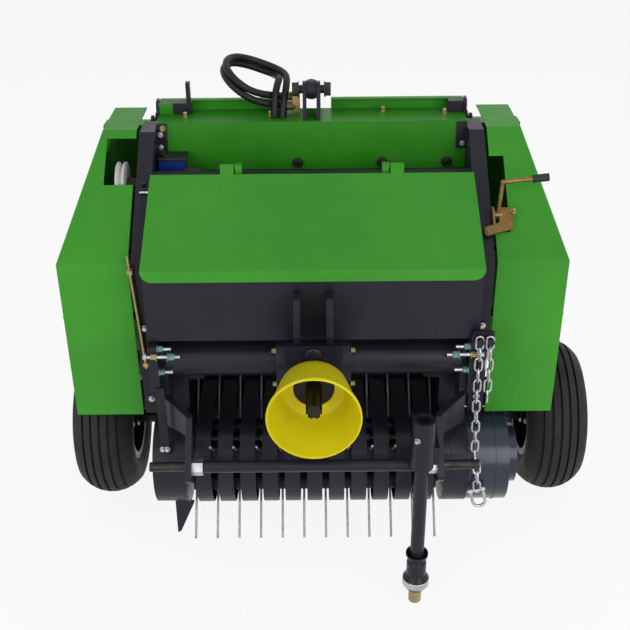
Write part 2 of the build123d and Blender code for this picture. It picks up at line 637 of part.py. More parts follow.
# Parking stand
sleeve = rod_z(SLEEVE_LOW_Z, SLEEVE_TOP_Z, LEG_X, LEG_Y, SLEEVE_R)
sleeve += block(LEG_X, ARM_X_LOW - ARM_T / 2, LEG_Y - 6, LEG_Y + 6, 404, 450)
sleeve += block(ARM_X_LOW - ARM_T / 2 - 12, ARM_X_LOW - ARM_T / 2, LEG_Y - 6, -412, 404, 450)
sleeve -= rod_z(SLEEVE_LOW_Z - 1, SLEEVE_TOP_Z + 1, LEG_X, LEG_Y, LEG_R + RUN)
PARTS["stand_sleeve"] = sleeve
PARTS["stand_leg"] = rod_z(84, 505, LEG_X, LEG_Y, LEG_R)
foot = revolve(make_face(Plane.XZ * Polyline(
    (0, 40), (22, 40), (30, 52), (30, 72), (23, 84), (23, 118), (19, 126), (26, 140), (26, 146), (LEG_R, 134),
    (LEG_R, 84), (0, 84), close=True)), Axis.Z)
PARTS["stand_foot"] = Pos(LEG_X, LEG_Y, 0) * foot
PARTS["stand_pin"] = rod_z(0, 40, LEG_X, LEG_Y, 15)

# Pick-up
PARTS["stripper_bands"] = stripper_bands()
PARTS["pickup_reel"] = reel()
PARTS["pickup_end_left"] = carrier(-1)
PARTS["pickup_end_right"] = carrier(1)
PARTS["pickup_drum_left"] = end_drum(((DRUM_END_X, DRUM_END_R - 2),), -1)
PARTS["pickup_drum_right"] = end_drum(((DRUM_STEP_X, DRUM_END_R - 2), (DRUM_CAP_X, DRUM_CAP_R)), 1)

# Wheels
for name, x in (("left", WHEEL_X_LEFT), ("right", WHEEL_X_RIGHT)):
    tyre, rim = wheel_pieces(x)
    PARTS["tyre_" + name] = tyre
    PARTS["rim_" + name] = rim
    PARTS["axle_" + name] = axle(x, SIDE_X + SIDE_T)

# Rollers
for name, angle in FRONT_ROLLERS.items():
    PARTS[name] = roller(angle, SIDE_X - 8, 402, DRUM_T)
for name, angle in GATE_ROLLERS.items():
    PARTS[name] = roller(angle, SIDE_X - 8, 406, GATE_DRUM_T)

# Tailgate
PARTS["gate_side_right"] = gate_side()
PARTS["gate_side_left"] = mirrored(PARTS["gate_side_right"])
PARTS["gate_cover_right"] = gate_cover()
PARTS["gate_cover_left"] = mirrored(PARTS["gate_cover_right"])
sheet = []
for radius in (GATE_R, GATE_R - GATE_SHEET_T):
    sheet.append(ThreePointArc(on_ring(78, radius), on_ring(57, radius), on_ring(37, radius)))
sheet += [Line(sheet[0] @ 0, sheet[1] @ 0), Line(sheet[0] @ 1, sheet[1] @ 1)]
gate_top = extrude(Plane.YZ.offset(-GATE_X) * make_face(sheet), amount=2 * GATE_X)
for s in (-1, 1):
    gate_top += slab([(366, 906), (378, 975), (392, 1002), (418, 1002), (432, 975), (440, 836)], s * 15, s * 24)
PARTS["gate_top"] = gate_top + rod_x(-34, 34, EYE_Y, EYE_Z, EYE_PIN_R)
ties = []
for y, z in ((400, 332), (488, 686)):
    ties.append(rod_x(-GATE_X, GATE_X, y, z, 17) - rod_x(-GATE_X - 1, GATE_X + 1, y, z, 14))
PARTS["gate_ties"] = ties[0] + ties[1]

# Gate cylinder along its own line from the base pin
span = math.hypot(EYE_Y - BASE_Y, EYE_Z - BASE_Z)
lean = math.degrees(math.atan2(EYE_Z - BASE_Z, EYE_Y - BASE_Y))
line = Pos(0, BASE_Y, BASE_Z) * Rot(lean, 0, 0)
barrel = rod_x(-10, 10, 0, 0, 20) + block(-10, 10, 8, 42, -16, 16) + rod_y(38, BARREL_L, 0, 0, BARREL_R)
barrel -= rod_y(46, BARREL_L + 1, 0, 0, ROD_R + RUN)
barrel -= rod_x(-11, 11, 0, 0, BASE_PIN_R + RUN)
PARTS["cylinder_barrel"] = line * barrel
eye = rod_y(172, span - 15, 0, 0, ROD_R) + rod_x(-13, 13, span, 0, EYE_R)
PARTS["cylinder_rod"] = line * (eye - rod_x(-14, 14, span, 0, EYE_HOLE_R))
bracket = rod_x(-46, 46, BASE_Y, BASE_Z, BASE_PIN_R)
cheek = [(BASE_Y - 27, PANEL_Z), (BASE_Y + 27, PANEL_Z), (BASE_Y + 18, BASE_Z + 4), (BASE_Y + 9, BASE_Z + 18),
         (BASE_Y - 9, BASE_Z + 18), (BASE_Y - 18, BASE_Z + 4)]
for s in (-1, 1):
    bracket += slab(cheek, s * 12, s * 21)
PARTS["cylinder_bracket"] = bracket

# Hoses, and the port block with a fitting for each
port = block(PORT_X, PORT_X + PORT_W, 118, 150, PANEL_Z, PANEL_Z + PORT_RISE)
for name, route in HOSE_ROUTES.items():
    start, after = Vector(*route[0]), Vector(*route[1])
    root = start - (after - start).normalized() * FITTING_L
    port += rod_between(tuple(root), tuple(start), 8.5)
    port += rod_between(tuple(root), tuple(root + (start - root) * 0.45), 11)
    PARTS[name] = hose(route)
PARTS["port_block"] = port

# Twine pulley on its pin, out from the left wall
groove = [(-10, 14), (-10, PULLEY_R), (-6, PULLEY_R), (0, PULLEY_R - 10), (6, PULLEY_R), (10, PULLEY_R), (10, 14)]
pulley = Pos(PULLEY_X, PULLEY_Y, PULLEY_Z) * turned(groove)
pulley += rod_x(-SIDE_X - SIDE_T, PULLEY_X - 16, PULLEY_Y, PULLEY_Z, 16)
PARTS["twine_pulley"] = pulley

# Twine tension box on the shelf, with its cap and guide tube
shelf = SHELF_Z + SHEET_T
tension = block(TENSION_X, TENSION_X + TENSION_L, -2, 44, shelf, shelf + 42)
tension += rod_z(shelf + 42, shelf + 54, TENSION_X + 16, 20, 13)
tension += rod_between((TENSION_X + TENSION_L - 6, 4, shelf + 18), (-165, -22, shelf + 6.5), 6)
PARTS["tension_box"] = tension

# Knotter lever: base plate on the right post's edge, cranked rod with a grip, and a strap above the post's slope
lever = slab([(LEVER_Y - 26, 826), (LEVER_Y - 30, 850), (LEVER_Y + 4, 876), (LEVER_Y + 22, 872),
              (LEVER_Y + 22, 840)], SIDE_X + POST_W, SIDE_X + POST_W + 5)
lever += rod_x(SIDE_X + POST_W + 5, LEVER_X + 8, LEVER_Y, LEVER_Z, 8)
knee = (LEVER_KNEE_X, LEVER_Y, LEVER_KNEE_Z)
lever_end = Vector(LEVER_END_X, LEVER_Y, LEVER_END_Z)
grip_start = lever_end - (lever_end - Vector(*knee)).normalized() * GRIP_L
lever += rod_between((LEVER_X, LEVER_Y, LEVER_Z), knee, 5)
lever += Pos(*knee) * Sphere(5)
lever += rod_between(knee, tuple(lever_end), 5) + rod_between(tuple(grip_start), tuple(lever_end), 9)
slope = Plane(origin=(0, FRONT_Y, FOLD_Z), x_dir=(1, 0, 0), z_dir=(0, FOLD_Z - TOP_Z, TOP_Y - FRONT_Y))
strap = fillet(make_face(Polyline((386, 58), (450, 76), (455, 130), (423, 130), (421, 92), (386, 80),
                                  close=True)).vertices(), 6)
lever += extrude(slope.offset(STRAP_GAP) * strap, amount=STRAP_T)
lever += slope * Pos(396, 70, (STRAP_GAP + STRAP_T + 3) / 2) * Cylinder(7, STRAP_GAP + STRAP_T + 3)
PARTS["control_lever"] = lever

# Control rod in front of the left post, in two eyes
rod = rod_between((-391, FRONT_Y - 11, 520), (-409, FRONT_Y - 11, 812), 4)
for x, z in ((-392, 531), (-406.5, 772)):
    rod += block(x - 6, x + 6, FRONT_Y - 17, FRONT_Y, z - 5, z + 5)
PARTS["control_rod"] = rod

# Crop guides beside the inlet, the strap down to the left drum, and the pointed skid under the left end plate
skid = make_face(Polyline((-346, 200), (-300, 200), (-300, 152), (-338, 62), (-347, 56), close=True))
guides = extrude(Plane.XZ.offset(297) * skid, amount=6)
guides -= rod_x(-DRUM_END_X, -CARRIER_X + 10, REEL_Y, REEL_Z, DRUM_END_R + RUN)
guides += block(-360, -340, -350, -346, 335, 520) + rod_y(-346, -333, -350, 345, 5)
for s in (-1, 1):
    wedge = make_face(Polyline((s * SIDE_X, 496), (s * 258, 496), (s * 262, 474), (s * 300, 472), (s * 302, 389),
                               (s * SIDE_X, 389), close=True))
    guides += extrude(Plane.XZ.offset(232) * wedge, amount=4)
PARTS["crop_guides"] = guides

# Safety chain: a long strand over the pick-up drum with a shackle at its end, and a short strand beside it
strand, last, turn = chain_along([(CHAIN_X, CHAIN_Y, CHAIN_PIN_Z + 5), (369, CHAIN_Y - 2, 486), (375, -362, 340),
                                  (381, -376, 300), (386, -377, 222)])
reach = (LINK_L + SHACKLE_L) / 2 + 0.6
shackle = Pos(*last) * Pos(0, 0, -reach) * Rot(0, 0, turn) * chain_link(SHACKLE_L, SHACKLE_W, SHACKLE_WIRE)
beside = CHAIN_X + CHAIN_GAP
short, last, turn = chain_along([(beside, CHAIN_Y, CHAIN_PIN_Z + 5), (beside + 4, CHAIN_Y - 2, 478)])
PARTS["safety_chain"] = strand + shackle + short

fixed = [shape for name, shape in PARTS.items() if name not in HOSE_ROUTES]
low = [min(tuple(s.bounding_box().min)[i] for s in fixed) for i in range(2)]
high = [max(tuple(s.bounding_box().max)[i] for s in fixed) for i in range(2)]
SHIFT = Pos(-(low[0] + high[0]) / 2, -(low[1] + high[1]) / 2, 0)
os.makedirs("parts", exist_ok=True)
for name, shape in PARTS.items():
    export_step(SHIFT * shape, os.path.join("parts", name + ".step"))
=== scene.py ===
"""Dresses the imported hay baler: hoses, tyres, guards, fasteners and finishes, with a plain stage."""
import json
import math

import bmesh
import bpy
from bmesh.types import BMEdge, BMVert
from bpy.props import FloatProperty, FloatVectorProperty, IntProperty, PointerProperty
from bpy.types import Operator, Panel, PropertyGroup
from mathutils import Matrix, Vector


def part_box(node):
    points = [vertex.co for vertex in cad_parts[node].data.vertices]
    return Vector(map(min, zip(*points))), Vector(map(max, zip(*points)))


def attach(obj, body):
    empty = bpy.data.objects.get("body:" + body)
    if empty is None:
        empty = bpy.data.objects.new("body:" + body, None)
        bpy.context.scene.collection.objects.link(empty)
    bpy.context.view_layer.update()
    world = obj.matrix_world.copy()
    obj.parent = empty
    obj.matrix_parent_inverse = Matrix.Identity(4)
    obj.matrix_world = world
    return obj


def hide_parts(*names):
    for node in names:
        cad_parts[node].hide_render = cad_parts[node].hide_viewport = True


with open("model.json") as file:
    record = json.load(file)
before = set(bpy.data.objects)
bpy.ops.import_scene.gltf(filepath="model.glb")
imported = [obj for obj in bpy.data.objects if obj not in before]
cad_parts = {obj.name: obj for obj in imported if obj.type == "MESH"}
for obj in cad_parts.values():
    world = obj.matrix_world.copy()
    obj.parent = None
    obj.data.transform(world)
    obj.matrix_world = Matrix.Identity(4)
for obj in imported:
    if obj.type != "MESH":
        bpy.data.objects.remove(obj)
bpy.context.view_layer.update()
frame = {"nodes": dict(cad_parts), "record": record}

bl_info = {
    "name": "Hay baler pieces",
    "version": (1, 0, 0),
    "blender": (4, 5, 0),
    "location": "3D View > Sidebar > Baler",
    "description": "Adds the hoses, tyres, guards, fasteners and finishes of a mounted round baler",
    "category": "Add Mesh",
}

STUB_LOW, STUB_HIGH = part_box("pto_shaft")
STUB_REACH = 0.510  # from the drawing's zero forward to the drive stub's front end, in metres
DATUM = Vector(((STUB_LOW.x + STUB_HIGH.x) / 2, STUB_LOW.y + STUB_REACH, 0.0))
X, Y, Z = (1, 0, 0), (0, 1, 0), (0, 0, 1)
FINISHES = {}


def mm(x, y, z):
    """A point of the drawing, in millimetres from the centre plane, as metres in the frame."""
    return DATUM + Vector((x, y, z)) / 1000


# Finishes


class Recipe:
    """The node tree of one finish, started with its shader and the object's own coordinates."""

    def __init__(self, name):
        self.material = bpy.data.materials.new(name)
        self.material.use_nodes = True
        self.tree = self.material.node_tree
        self.shader = self.tree.nodes["Principled BSDF"]
        self.coords = self.tree.nodes.new("ShaderNodeTexCoord").outputs["Object"]
        FINISHES[name] = self.material

    def node(self, kind, **settings):
        """A new node; a setting is one of its properties or else one of its inputs."""
        made = self.tree.nodes.new(kind)
        for key, value in settings.items():
            if hasattr(made, key):
                setattr(made, key, value)
            else:
                made.inputs[key.replace("_", " ")].default_value = value
        return made

    def link(self, source, target):
        self.tree.links.new(source, target)

    def feed(self, **sources):
        """Links outputs to the shader's inputs."""
        for name, source in sources.items():
            self.link(source, self.shader.inputs[name.replace("_", " ")])

    def set(self, **values):
        """Sets the shader's inputs."""
        for name, value in values.items():
            self.shader.inputs[name.replace("_", " ")].default_value = value

    def noise(self, scale, detail=4.0, rough=0.6, stretch=None):
        made = self.node("ShaderNodeTexNoise", Scale=scale, Detail=detail, Roughness=rough)
        source = self.coords
        if stretch:
            mapping = self.node("ShaderNodeMapping")
            mapping.inputs["Scale"].default_value = stretch
            self.link(self.coords, mapping.inputs["Vector"])
            source = mapping.outputs["Vector"]
        self.link(source, made.inputs["Vector"])
        return made.outputs["Fac"]

    def ramp(self, source, low, high):
        """A ramp between two (place, colour) stops."""
        made = self.node("ShaderNodeValToRGB")
        for end, (place, colour) in zip(made.color_ramp.elements, (low, high)):
            end.position = place
            end.color = (*colour, 1.0)
        self.link(source, made.inputs["Fac"])
        return made.outputs["Color"]

    def blend(self, factor, a, b):
        """A mix of two colours, each given as a value or as an output."""
        made = self.node("ShaderNodeMix", data_type="RGBA")
        self.link(factor, made.inputs[0])
        for value, socket in ((a, made.inputs[6]), (b, made.inputs[7])):
            if hasattr(value, "is_linked"):
                self.link(value, socket)
            else:
                socket.default_value = (*value, 1.0)
        return made.outputs[2]

    def bump(self, source, strength, distance, normal=None):
        made = self.node("ShaderNodeBump", Strength=strength, Distance=distance)
        self.link(source, made.inputs["Height"])
        if normal is not None:
            self.link(normal, made.inputs["Normal"])
        return made.outputs["Normal"]

    def rounded(self, radius):
        return self.node("ShaderNodeBevel", samples=4, Radius=radius).outputs["Normal"]

    def edges(self, normal, low, high):
        """A mask that is 1 where the rounded normal leaves the flat one, at edges and folds."""
        flat = self.node("ShaderNodeNewGeometry").outputs["Normal"]
        dot = self.node("ShaderNodeVectorMath", operation="DOT_PRODUCT")
        self.link(flat, dot.inputs[0])
        self.link(normal, dot.inputs[1])
        spread = self.node("ShaderNodeMapRange", From_Min=high, From_Max=low, To_Min=0.0, To_Max=1.0)
        self.link(dot.outputs["Value"], spread.inputs["Value"])
        return spread.outputs["Result"]


def shade(colour, factor):
    """A colour made lighter or darker."""
    return tuple(min(1.0, channel * factor) for channel in colour)


def grey(value):
    return (value, value, value)


def enamel(name, colour, rough, gloss, dust):
    """Sprayed enamel on sheet steel: orange peel, faint patches, upright dust streaks and paler edges."""
    r = Recipe(name)
    rounded = r.rounded(0.0016)
    patches = r.ramp(r.noise(3.2, detail=5.0), (0.3, shade(colour, 0.86)), (0.7, shade(colour, 1.1)))
    streaks = r.noise(9.0, detail=6.0, rough=0.7, stretch=(1.0, 1.0, 0.18))
    streaks = r.ramp(streaks, (0.52, grey(0.0)), (0.8, grey(dust)))
    dusty = r.blend(streaks, patches, tuple(0.55 * c + 0.16 for c in colour))
    worn = r.blend(r.edges(rounded, 0.7, 0.985), dusty, tuple(0.8 * c + 0.045 for c in colour))
    matt = r.ramp(r.noise(26.0, detail=5.0), (0.3, grey(rough - 0.07)), (0.75, grey(rough + 0.12)))
    peel = r.bump(r.noise(420.0, detail=2.0), strength=0.12, distance=0.0004, normal=rounded)
    r.feed(Base_Color=worn, Roughness=matt, Normal=peel)
    r.set(Coat_Weight=gloss, Coat_Roughness=0.22, Specular_IOR_Level=0.14)


def moulded(name, colour, rough, grain):
    """Moulded plastic, or steel under grease: faint flow marks, scuffs and a fine grain."""
    r = Recipe(name)
    rounded = r.rounded(0.0012)
    flow = r.noise(7.0, detail=3.0, rough=0.5, stretch=(1.0, 0.35, 1.0))
    flow = r.ramp(flow, (0.3, shade(colour, 0.9)), (0.72, shade(colour, 1.08)))
    scuffs = r.ramp(r.noise(34.0, detail=7.0, rough=0.75), (0.6, grey(0.0)), (0.78, grey(0.35)))
    matt = r.ramp(r.noise(60.0), (0.3, grey(rough - 0.06)), (0.7, grey(rough + 0.1)))
    fine = r.bump(r.noise(grain, detail=2.0), strength=0.15, distance=0.0003, normal=rounded)
    r.feed(Base_Color=r.blend(scuffs, flow, shade(colour, 0.72)), Roughness=matt, Normal=fine)
    r.set(Specular_IOR_Level=0.3)


def plated(name, light, dark, rough, cloud):
    """Zinc plated or ground steel: cloudy tint, fine scratches and darker pits."""
    r = Recipe(name)
    rounded = r.rounded(0.0008)
    tint = r.ramp(r.noise(cloud, detail=5.0, rough=0.65), (0.32, dark), (0.68, light))
    pits = r.ramp(r.noise(260.0, detail=3.0), (0.34, grey(0.6)), (0.46, grey(0.0)))
    scratches = r.noise(300.0, detail=3.0, rough=0.6, stretch=(1.0, 1.0, 0.08))
    matt = r.ramp(scratches, (0.3, grey(rough - 0.1)), (0.7, grey(rough + 0.12)))
    fine = r.bump(scratches, strength=0.06, distance=0.0003, normal=rounded)
    r.feed(Base_Color=r.blend(pits, tint, shade(dark, 0.55)), Roughness=matt, Normal=fine)
    r.set(Metallic=0.9)


def tyre_rubber(name, colour, dust):
    """Tyre rubber: matt, dusty in patches, with fine moulding grain."""
    r = Recipe(name)
    base = r.ramp(r.noise(14.0, detail=6.0), (0.3, shade(colour, 0.75)), (0.7, shade(colour, 1.3)))
    patches = r.ramp(r.noise(5.0, detail=8.0, rough=0.7), (0.5, grey(0.0)), (0.78, grey(0.35)))
    matt = r.ramp(r.noise(40.0), (0.3, grey(0.62)), (0.7, grey(0.82)))
    fine = r.bump(r.noise(330.0, detail=4.0), strength=0.25, distance=0.0006)
    r.feed(Base_Color=r.blend(patches, base, dust), Roughness=matt, Normal=fine)
    r.set(Specular_IOR_Level=0.25)


def hose_cover(name, colour):
    """Hose cover: black rubber with the wrap marks of its curing tape."""
    r = Recipe(name)
    wrap = r.node("ShaderNodeTexWave", Scale=85.0, Distortion=1.2, Detail=2.0, Detail_Scale=2.0)
    r.link(r.coords, wrap.inputs["Vector"])
    marks = r.noise(70.0, detail=5.0)
    tint = r.ramp(marks, (0.35, colour), (0.75, shade(colour, 2.2)))
    matt = r.ramp(marks, (0.3, grey(0.38)), (0.7, grey(0.56)))
    ridges = r.bump(wrap.outputs["Fac"], strength=0.22, distance=0.0006)
    r.feed(Base_Color=tint, Roughness=matt, Normal=ridges)
    r.set(Specular_IOR_Level=0.25)


# Mesh helpers


def facing(at, direction):
    """A matrix at a point whose z axis lies along a direction."""
    turn = Vector(direction).to_track_quat("Z", "Y").to_matrix().to_4x4()
    return Matrix.Translation(at) @ turn


def verts_in(geom):
    return [item for item in geom if isinstance(item, BMVert)]


def edges_in(geom):
    return [item for item in geom if isinstance(item, BMEdge)]


def rod(bm, start, end, radius, segments, tip=None):
    """A round bar between two points, tapering to another radius at its end if one is given."""
    along = end - start
    bmesh.ops.create_cone(
        bm, cap_ends=True, segments=segments, radius1=radius, radius2=radius if tip is None else tip,
        depth=along.length, matrix=facing((start + end) / 2, along))


def bolt(bm, at, direction, across, height):
    """A hexagon head on its washer, with a chamfered top."""
    way = Vector(direction).normalized()
    corner = across * 0.577
    washer, chamfer = at + way * 0.0018, at + way * height * 0.85
    rod(bm, at, washer, across * 0.8, 20)
    rod(bm, washer, chamfer, corner, 6)
    rod(bm, chamfer, at + way * height, corner, 6, corner * 0.86)


def plate(bm, low, high, edge):
    """A block between two corners with its edges taken off."""
    place = Matrix.Translation((low + high) / 2) @ Matrix.Diagonal((*(high - low), 1.0))
    made = bmesh.ops.create_cube(bm, size=1.0, matrix=place)
    edges = {e for v in made["verts"] for e in v.link_edges}
    bmesh.ops.bevel(bm, geom=list(edges), offset=edge, offset_type="OFFSET", affect="EDGES", segments=2,
                    profile=0.5, material=-1)


def prism(bm, corners, along):
    """A flat face with these corners, pulled along a vector."""
    face = bm.faces.new([bm.verts.new(corner) for corner in corners])
    made = bmesh.ops.extrude_face_region(bm, geom=[face])["geom"]
    bmesh.ops.translate(bm, verts=verts_in(made), vec=along)


def spun(bm, outline, centre, axis, out, steps):
    """A closed outline of (along the axis, radius), in millimetres, turned once about the axis."""
    axis, out = Vector(axis), Vector(out)
    verts = [bm.verts.new(centre + axis * a / 1000 + out * r / 1000) for a, r in outline]
    edges = [bm.edges.new((a, b)) for a, b in zip(verts, verts[1:] + verts[:1])]
    bmesh.ops.spin(bm, geom=verts + edges, cent=centre, axis=axis, dvec=(0, 0, 0), angle=math.tau,
                   steps=steps, use_merge=True, use_duplicate=False)


def bow(start, end, rise, steps):
    """Points of a shallow curve from start up to, but not including, end, that bulges to the left by rise."""
    (ax, ay), (bx, by) = start, end
    length = math.hypot(bx - ax, by - ay)
    nx, ny = (ay - by) / length, (bx - ax) / length
    points = []
    for i in range(steps):
        t = i / steps
        lift = 4 * rise * t * (1 - t)
        points.append((ax + (bx - ax) * t + nx * lift, ay + (by - ay) * t + ny * lift))
    return points


def hoop(bm, leg, bend, wire):
    """A round wire bent to an arch: two legs up from z = 0, a half turn at the top. Gives its faces."""
    old = set(bm.faces)
    loop = bmesh.ops.create_circle(bm, segments=8, radius=wire / 2, matrix=Matrix.Translation((bend, 0, 0)))
    edges = list({e for v in loop["verts"] for e in v.link_edges})
    made = bmesh.ops.extrude_edge_only(bm, edges=edges)["geom"]
    verts = verts_in(made)
    bmesh.ops.translate(bm, verts=verts, vec=(0, 0, leg))
    edges = [e for e in edges_in(made) if all(v in verts for v in e.verts)]
    made = bmesh.ops.spin(bm, geom=verts + edges, cent=(0, 0, leg), axis=(0, -1, 0), dvec=(0, 0, 0),
                          angle=math.pi, steps=8, use_merge=False, use_duplicate=False)["geom_last"]
    made = bmesh.ops.extrude_edge_only(bm, edges=edges_in(made))["geom"]
    bmesh.ops.translate(bm, verts=verts_in(made), vec=(0, 0, -leg))
    return [f for f in bm.faces if f not in old]


def link(bm, leg, bend, wire, place):
    """A round chain link about the origin, moved to its place."""
    faces = hoop(bm, leg, bend, wire)
    verts = {v for f in faces for v in f.verts}
    edges = {e for f in faces for e in f.edges}
    made = bmesh.ops.mirror(bm, geom=[*faces, *verts, *edges], matrix=Matrix.Identity(4), merge_dist=1e-6,
                            axis="Z")
    verts.update(verts_in(made["geom"]))
    bmesh.ops.transform(bm, matrix=place, verts=[v for v in verts if v.is_valid])


def keep(name, bm, finish, body, sharp=32.0):
    """Makes a finished piece of a mesh: normals, smoothing, finish and body."""
    bmesh.ops.remove_doubles(bm, verts=bm.verts, dist=1e-6)
    bmesh.ops.recalc_face_normals(bm, faces=bm.faces)
    mesh = bpy.data.meshes.new(name)
    bm.to_mesh(mesh)
    bm.free()
    mesh.materials.append(FINISHES[finish])
    mesh.polygons.foreach_set("use_smooth", [True] * len(mesh.polygons))
    mesh.set_sharp_from_angle(angle=math.radians(sharp))
    piece = bpy.data.objects.new(name, mesh)
    bpy.context.scene.collection.objects.link(piece)
    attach(piece, body)
    return piece


def paint(node, finishes, pick=None):
    """Gives a CAD node its finishes; pick says which one a face takes from where its middle is."""
    mesh = frame["nodes"][node].data
    mesh.materials.clear()
    for finish in finishes:
        mesh.materials.append(FINISHES[finish])
    if pick:
        for face in mesh.polygons:
            face.material_index = pick(face.center)


# Settings


def colour(label, default):
    """A colour setting."""
    return FloatVectorProperty(name=label, description=label + " of the baler", subtype="COLOR", size=3,
                               min=0.0, max=1.0, default=default)


def length(label, description, default, low, high):
    """A length setting, in metres."""
    return FloatProperty(name=label, description=description, default=default, min=low, max=high,
                         unit="LENGTH")


class BalerColours(PropertyGroup):
    """The colours of the finishes."""

    green: colour("Cover green", (0.045, 0.27, 0.024))
    panel: colour("Upper panel green", (0.025, 0.205, 0.01))
    charcoal: colour("Frame charcoal", (0.014, 0.0135, 0.0215))
    drum: colour("Guard drum blue-grey", (0.015, 0.022, 0.041))
    yellow: colour("Shield yellow", (0.7, 0.6, 0.006))
    zinc: colour("Yellow zinc", (0.46, 0.34, 0.13))
    steel: colour("Bright steel", (0.62, 0.62, 0.63))
    rubber: colour("Tyre rubber", (0.02, 0.0195, 0.0195))
    hose: colour("Hose black", (0.005, 0.005, 0.0055))
    pulley: colour("Pulley grey", (0.56, 0.56, 0.56))
    blue: colour("Tension box blue", (0.012, 0.03, 0.2))
    floor: colour("Floor", (0.86, 0.86, 0.86))


class BalerSizes(PropertyGroup):
    """The sizes of the added pieces."""

    hose_diameter: length("Hose diameter", "Outside diameter of the two hoses", 0.017, 0.008, 0.02)
    groove_depth: length("Groove depth", "Depth of the tyre's tread grooves", 0.008, 0.002, 0.012)
    groove_pitch: length("Groove pitch", "Distance from one tread groove to the next", 0.022, 0.015, 0.026)
    crown_radius: length("Crown radius", "Radius of the tread across the tyre", 0.094, 0.085, 0.2)
    groove_count: IntProperty(name="Grooves", description="Number of grooves round the tyre", default=5,
                              min=3, max=7)
    chain_wire: length("Chain wire", "Diameter of the chain's wire", 0.005, 0.003, 0.007)
    lens: FloatProperty(name="Lens", description="Focal length of the camera", default=57.14, min=35.0,
                        max=85.0, unit="CAMERA")
    tilt: FloatProperty(name="Camera tilt", description="How far the camera looks down", subtype="ANGLE",
                        default=math.radians(29.0))


# Operators

CAMERA_AT = (4, -2252, 1762)  # in the drawing's millimetres
CAMERA_ROLL = math.radians(-0.5)
SENSOR_WIDTH = 36.0
FLOOR_RADIUS, FLOOR_Z = 40.0, -0.0005
FLOOR_WHITE = 0.88  # share of plain white in the floor where it is seen; the rest takes the shadow
WORLD_LIGHT, WORLD_SEEN = 0.45, 1.0  # strength of the world as a light, and where it is seen
# name, place, aim, width, power, shows in reflections
LAMPS = (("key", (1.9, -3.3, 2.1), (0, 0, 0.5), 2.6, 70, True),
         ("fill", (-2.1, -3.2, 1.8), (0, 0, 0.5), 2.4, 42, True),
         ("back", (0, 2.6, 2.6), (0, 0, 0.6), 2.4, 26, False))


def seen_rays(tree):
    """An output that is 1 where the camera or a reflection sees a surface, and 0 for the light it sends."""
    path = tree.nodes.new("ShaderNodeLightPath")
    seen = tree.nodes.new("ShaderNodeMath")
    seen.operation = "MAXIMUM"
    tree.links.new(path.outputs["Is Camera Ray"], seen.inputs[0])
    tree.links.new(path.outputs["Is Glossy Ray"], seen.inputs[1])
    return seen.outputs["Value"]


class BALER_OT_stage(Operator):
    """Floor, soft light and the camera at the photograph's angle"""

    bl_idname = "baler.stage"
    bl_label = "Stage"

    def execute(self, context):
        scene = context.scene
        sizes, colours = scene.baler_sizes, scene.baler_colours
        camera = bpy.data.objects.new("camera", bpy.data.cameras.new("camera"))
        camera.data.lens = sizes.lens
        camera.data.sensor_width = SENSOR_WIDTH
        turn = Matrix.Rotation(math.pi / 2 - sizes.tilt, 4, "X") @ Matrix.Rotation(CAMERA_ROLL, 4, "Z")
        camera.matrix_world = Matrix.Translation(mm(*CAMERA_AT)) @ turn
        scene.collection.objects.link(camera)
        scene.camera = camera
        scene.view_settings.view_transform = "Standard"

        bm = bmesh.new()
        bmesh.ops.create_circle(bm, cap_ends=True, segments=96, radius=FLOOR_RADIUS)
        mesh = bpy.data.meshes.new("floor")
        bm.to_mesh(mesh)
        bm.free()
        floor = bpy.data.objects.new("floor", mesh)
        floor.location.z = FLOOR_Z
        scene.collection.objects.link(floor)
        r = Recipe("floor_paint")
        r.feed(Base_Color=r.ramp(r.noise(1.5, detail=3.0), (0.3, shade(colours.floor, 0.99)),
                                 (0.7, colours.floor)))
        r.set(Roughness=0.9, Specular_IOR_Level=0.1)
        share = r.node("ShaderNodeMath", operation="MULTIPLY")
        share.inputs[1].default_value = FLOOR_WHITE
        r.link(seen_rays(r.tree), share.inputs[0])
        white = r.node("ShaderNodeEmission")
        mixed = r.node("ShaderNodeMixShader")
        r.link(share.outputs["Value"], mixed.inputs["Fac"])
        r.link(r.shader.outputs["BSDF"], mixed.inputs[1])
        r.link(white.outputs["Emission"], mixed.inputs[2])
        r.link(mixed.outputs["Shader"], r.tree.nodes["Material Output"].inputs["Surface"])
        mesh.materials.append(r.material)

        world = bpy.data.worlds.new("studio")
        world.use_nodes = True
        tree = world.node_tree
        back = tree.nodes["Background"]
        back.inputs["Color"].default_value = (1.0, 1.0, 1.0, 1.0)
        strength = tree.nodes.new("ShaderNodeMapRange")
        strength.inputs["To Min"].default_value = WORLD_LIGHT
        strength.inputs["To Max"].default_value = WORLD_SEEN
        tree.links.new(seen_rays(tree), strength.inputs["Value"])
        tree.links.new(strength.outputs["Result"], back.inputs["Strength"])
        scene.world = world

        for name, place, aim, width, power, glossy in LAMPS:
            lamp = bpy.data.lights.new(name, "AREA")
            lamp.energy = power
            lamp.size = width
            thing = bpy.data.objects.new(name, lamp)
            thing.matrix_world = facing(Vector(place), Vector(place) - Vector(aim))
            thing.visible_glossy = glossy
            scene.collection.objects.link(thing)
        return {"FINISHED"}


# Colours that are not a setting
BLACK, BROWN = (0.013, 0.013, 0.014), (0.07, 0.012, 0.008)
GREASE, ROAD_DUST = (0.007, 0.006, 0.004), (0.06, 0.055, 0.05)
# The finish of each of the record's material slots
SLOT_FINISHES = {
    "green_paint": "green_enamel", "charcoal_paint": "charcoal_enamel", "tyre": "tyre_rubber",
    "blue_grey_paint": "drum_enamel", "yellow_plastic": "shield_plastic", "hose_rubber": "hose_cover",
    "bright_steel": "bright_zinc", "zinc_yellow": "yellow_zinc", "grey_plastic": "pulley_plastic",
    "blue_paint": "blue_enamel", "rim_paint": "charcoal_enamel"}
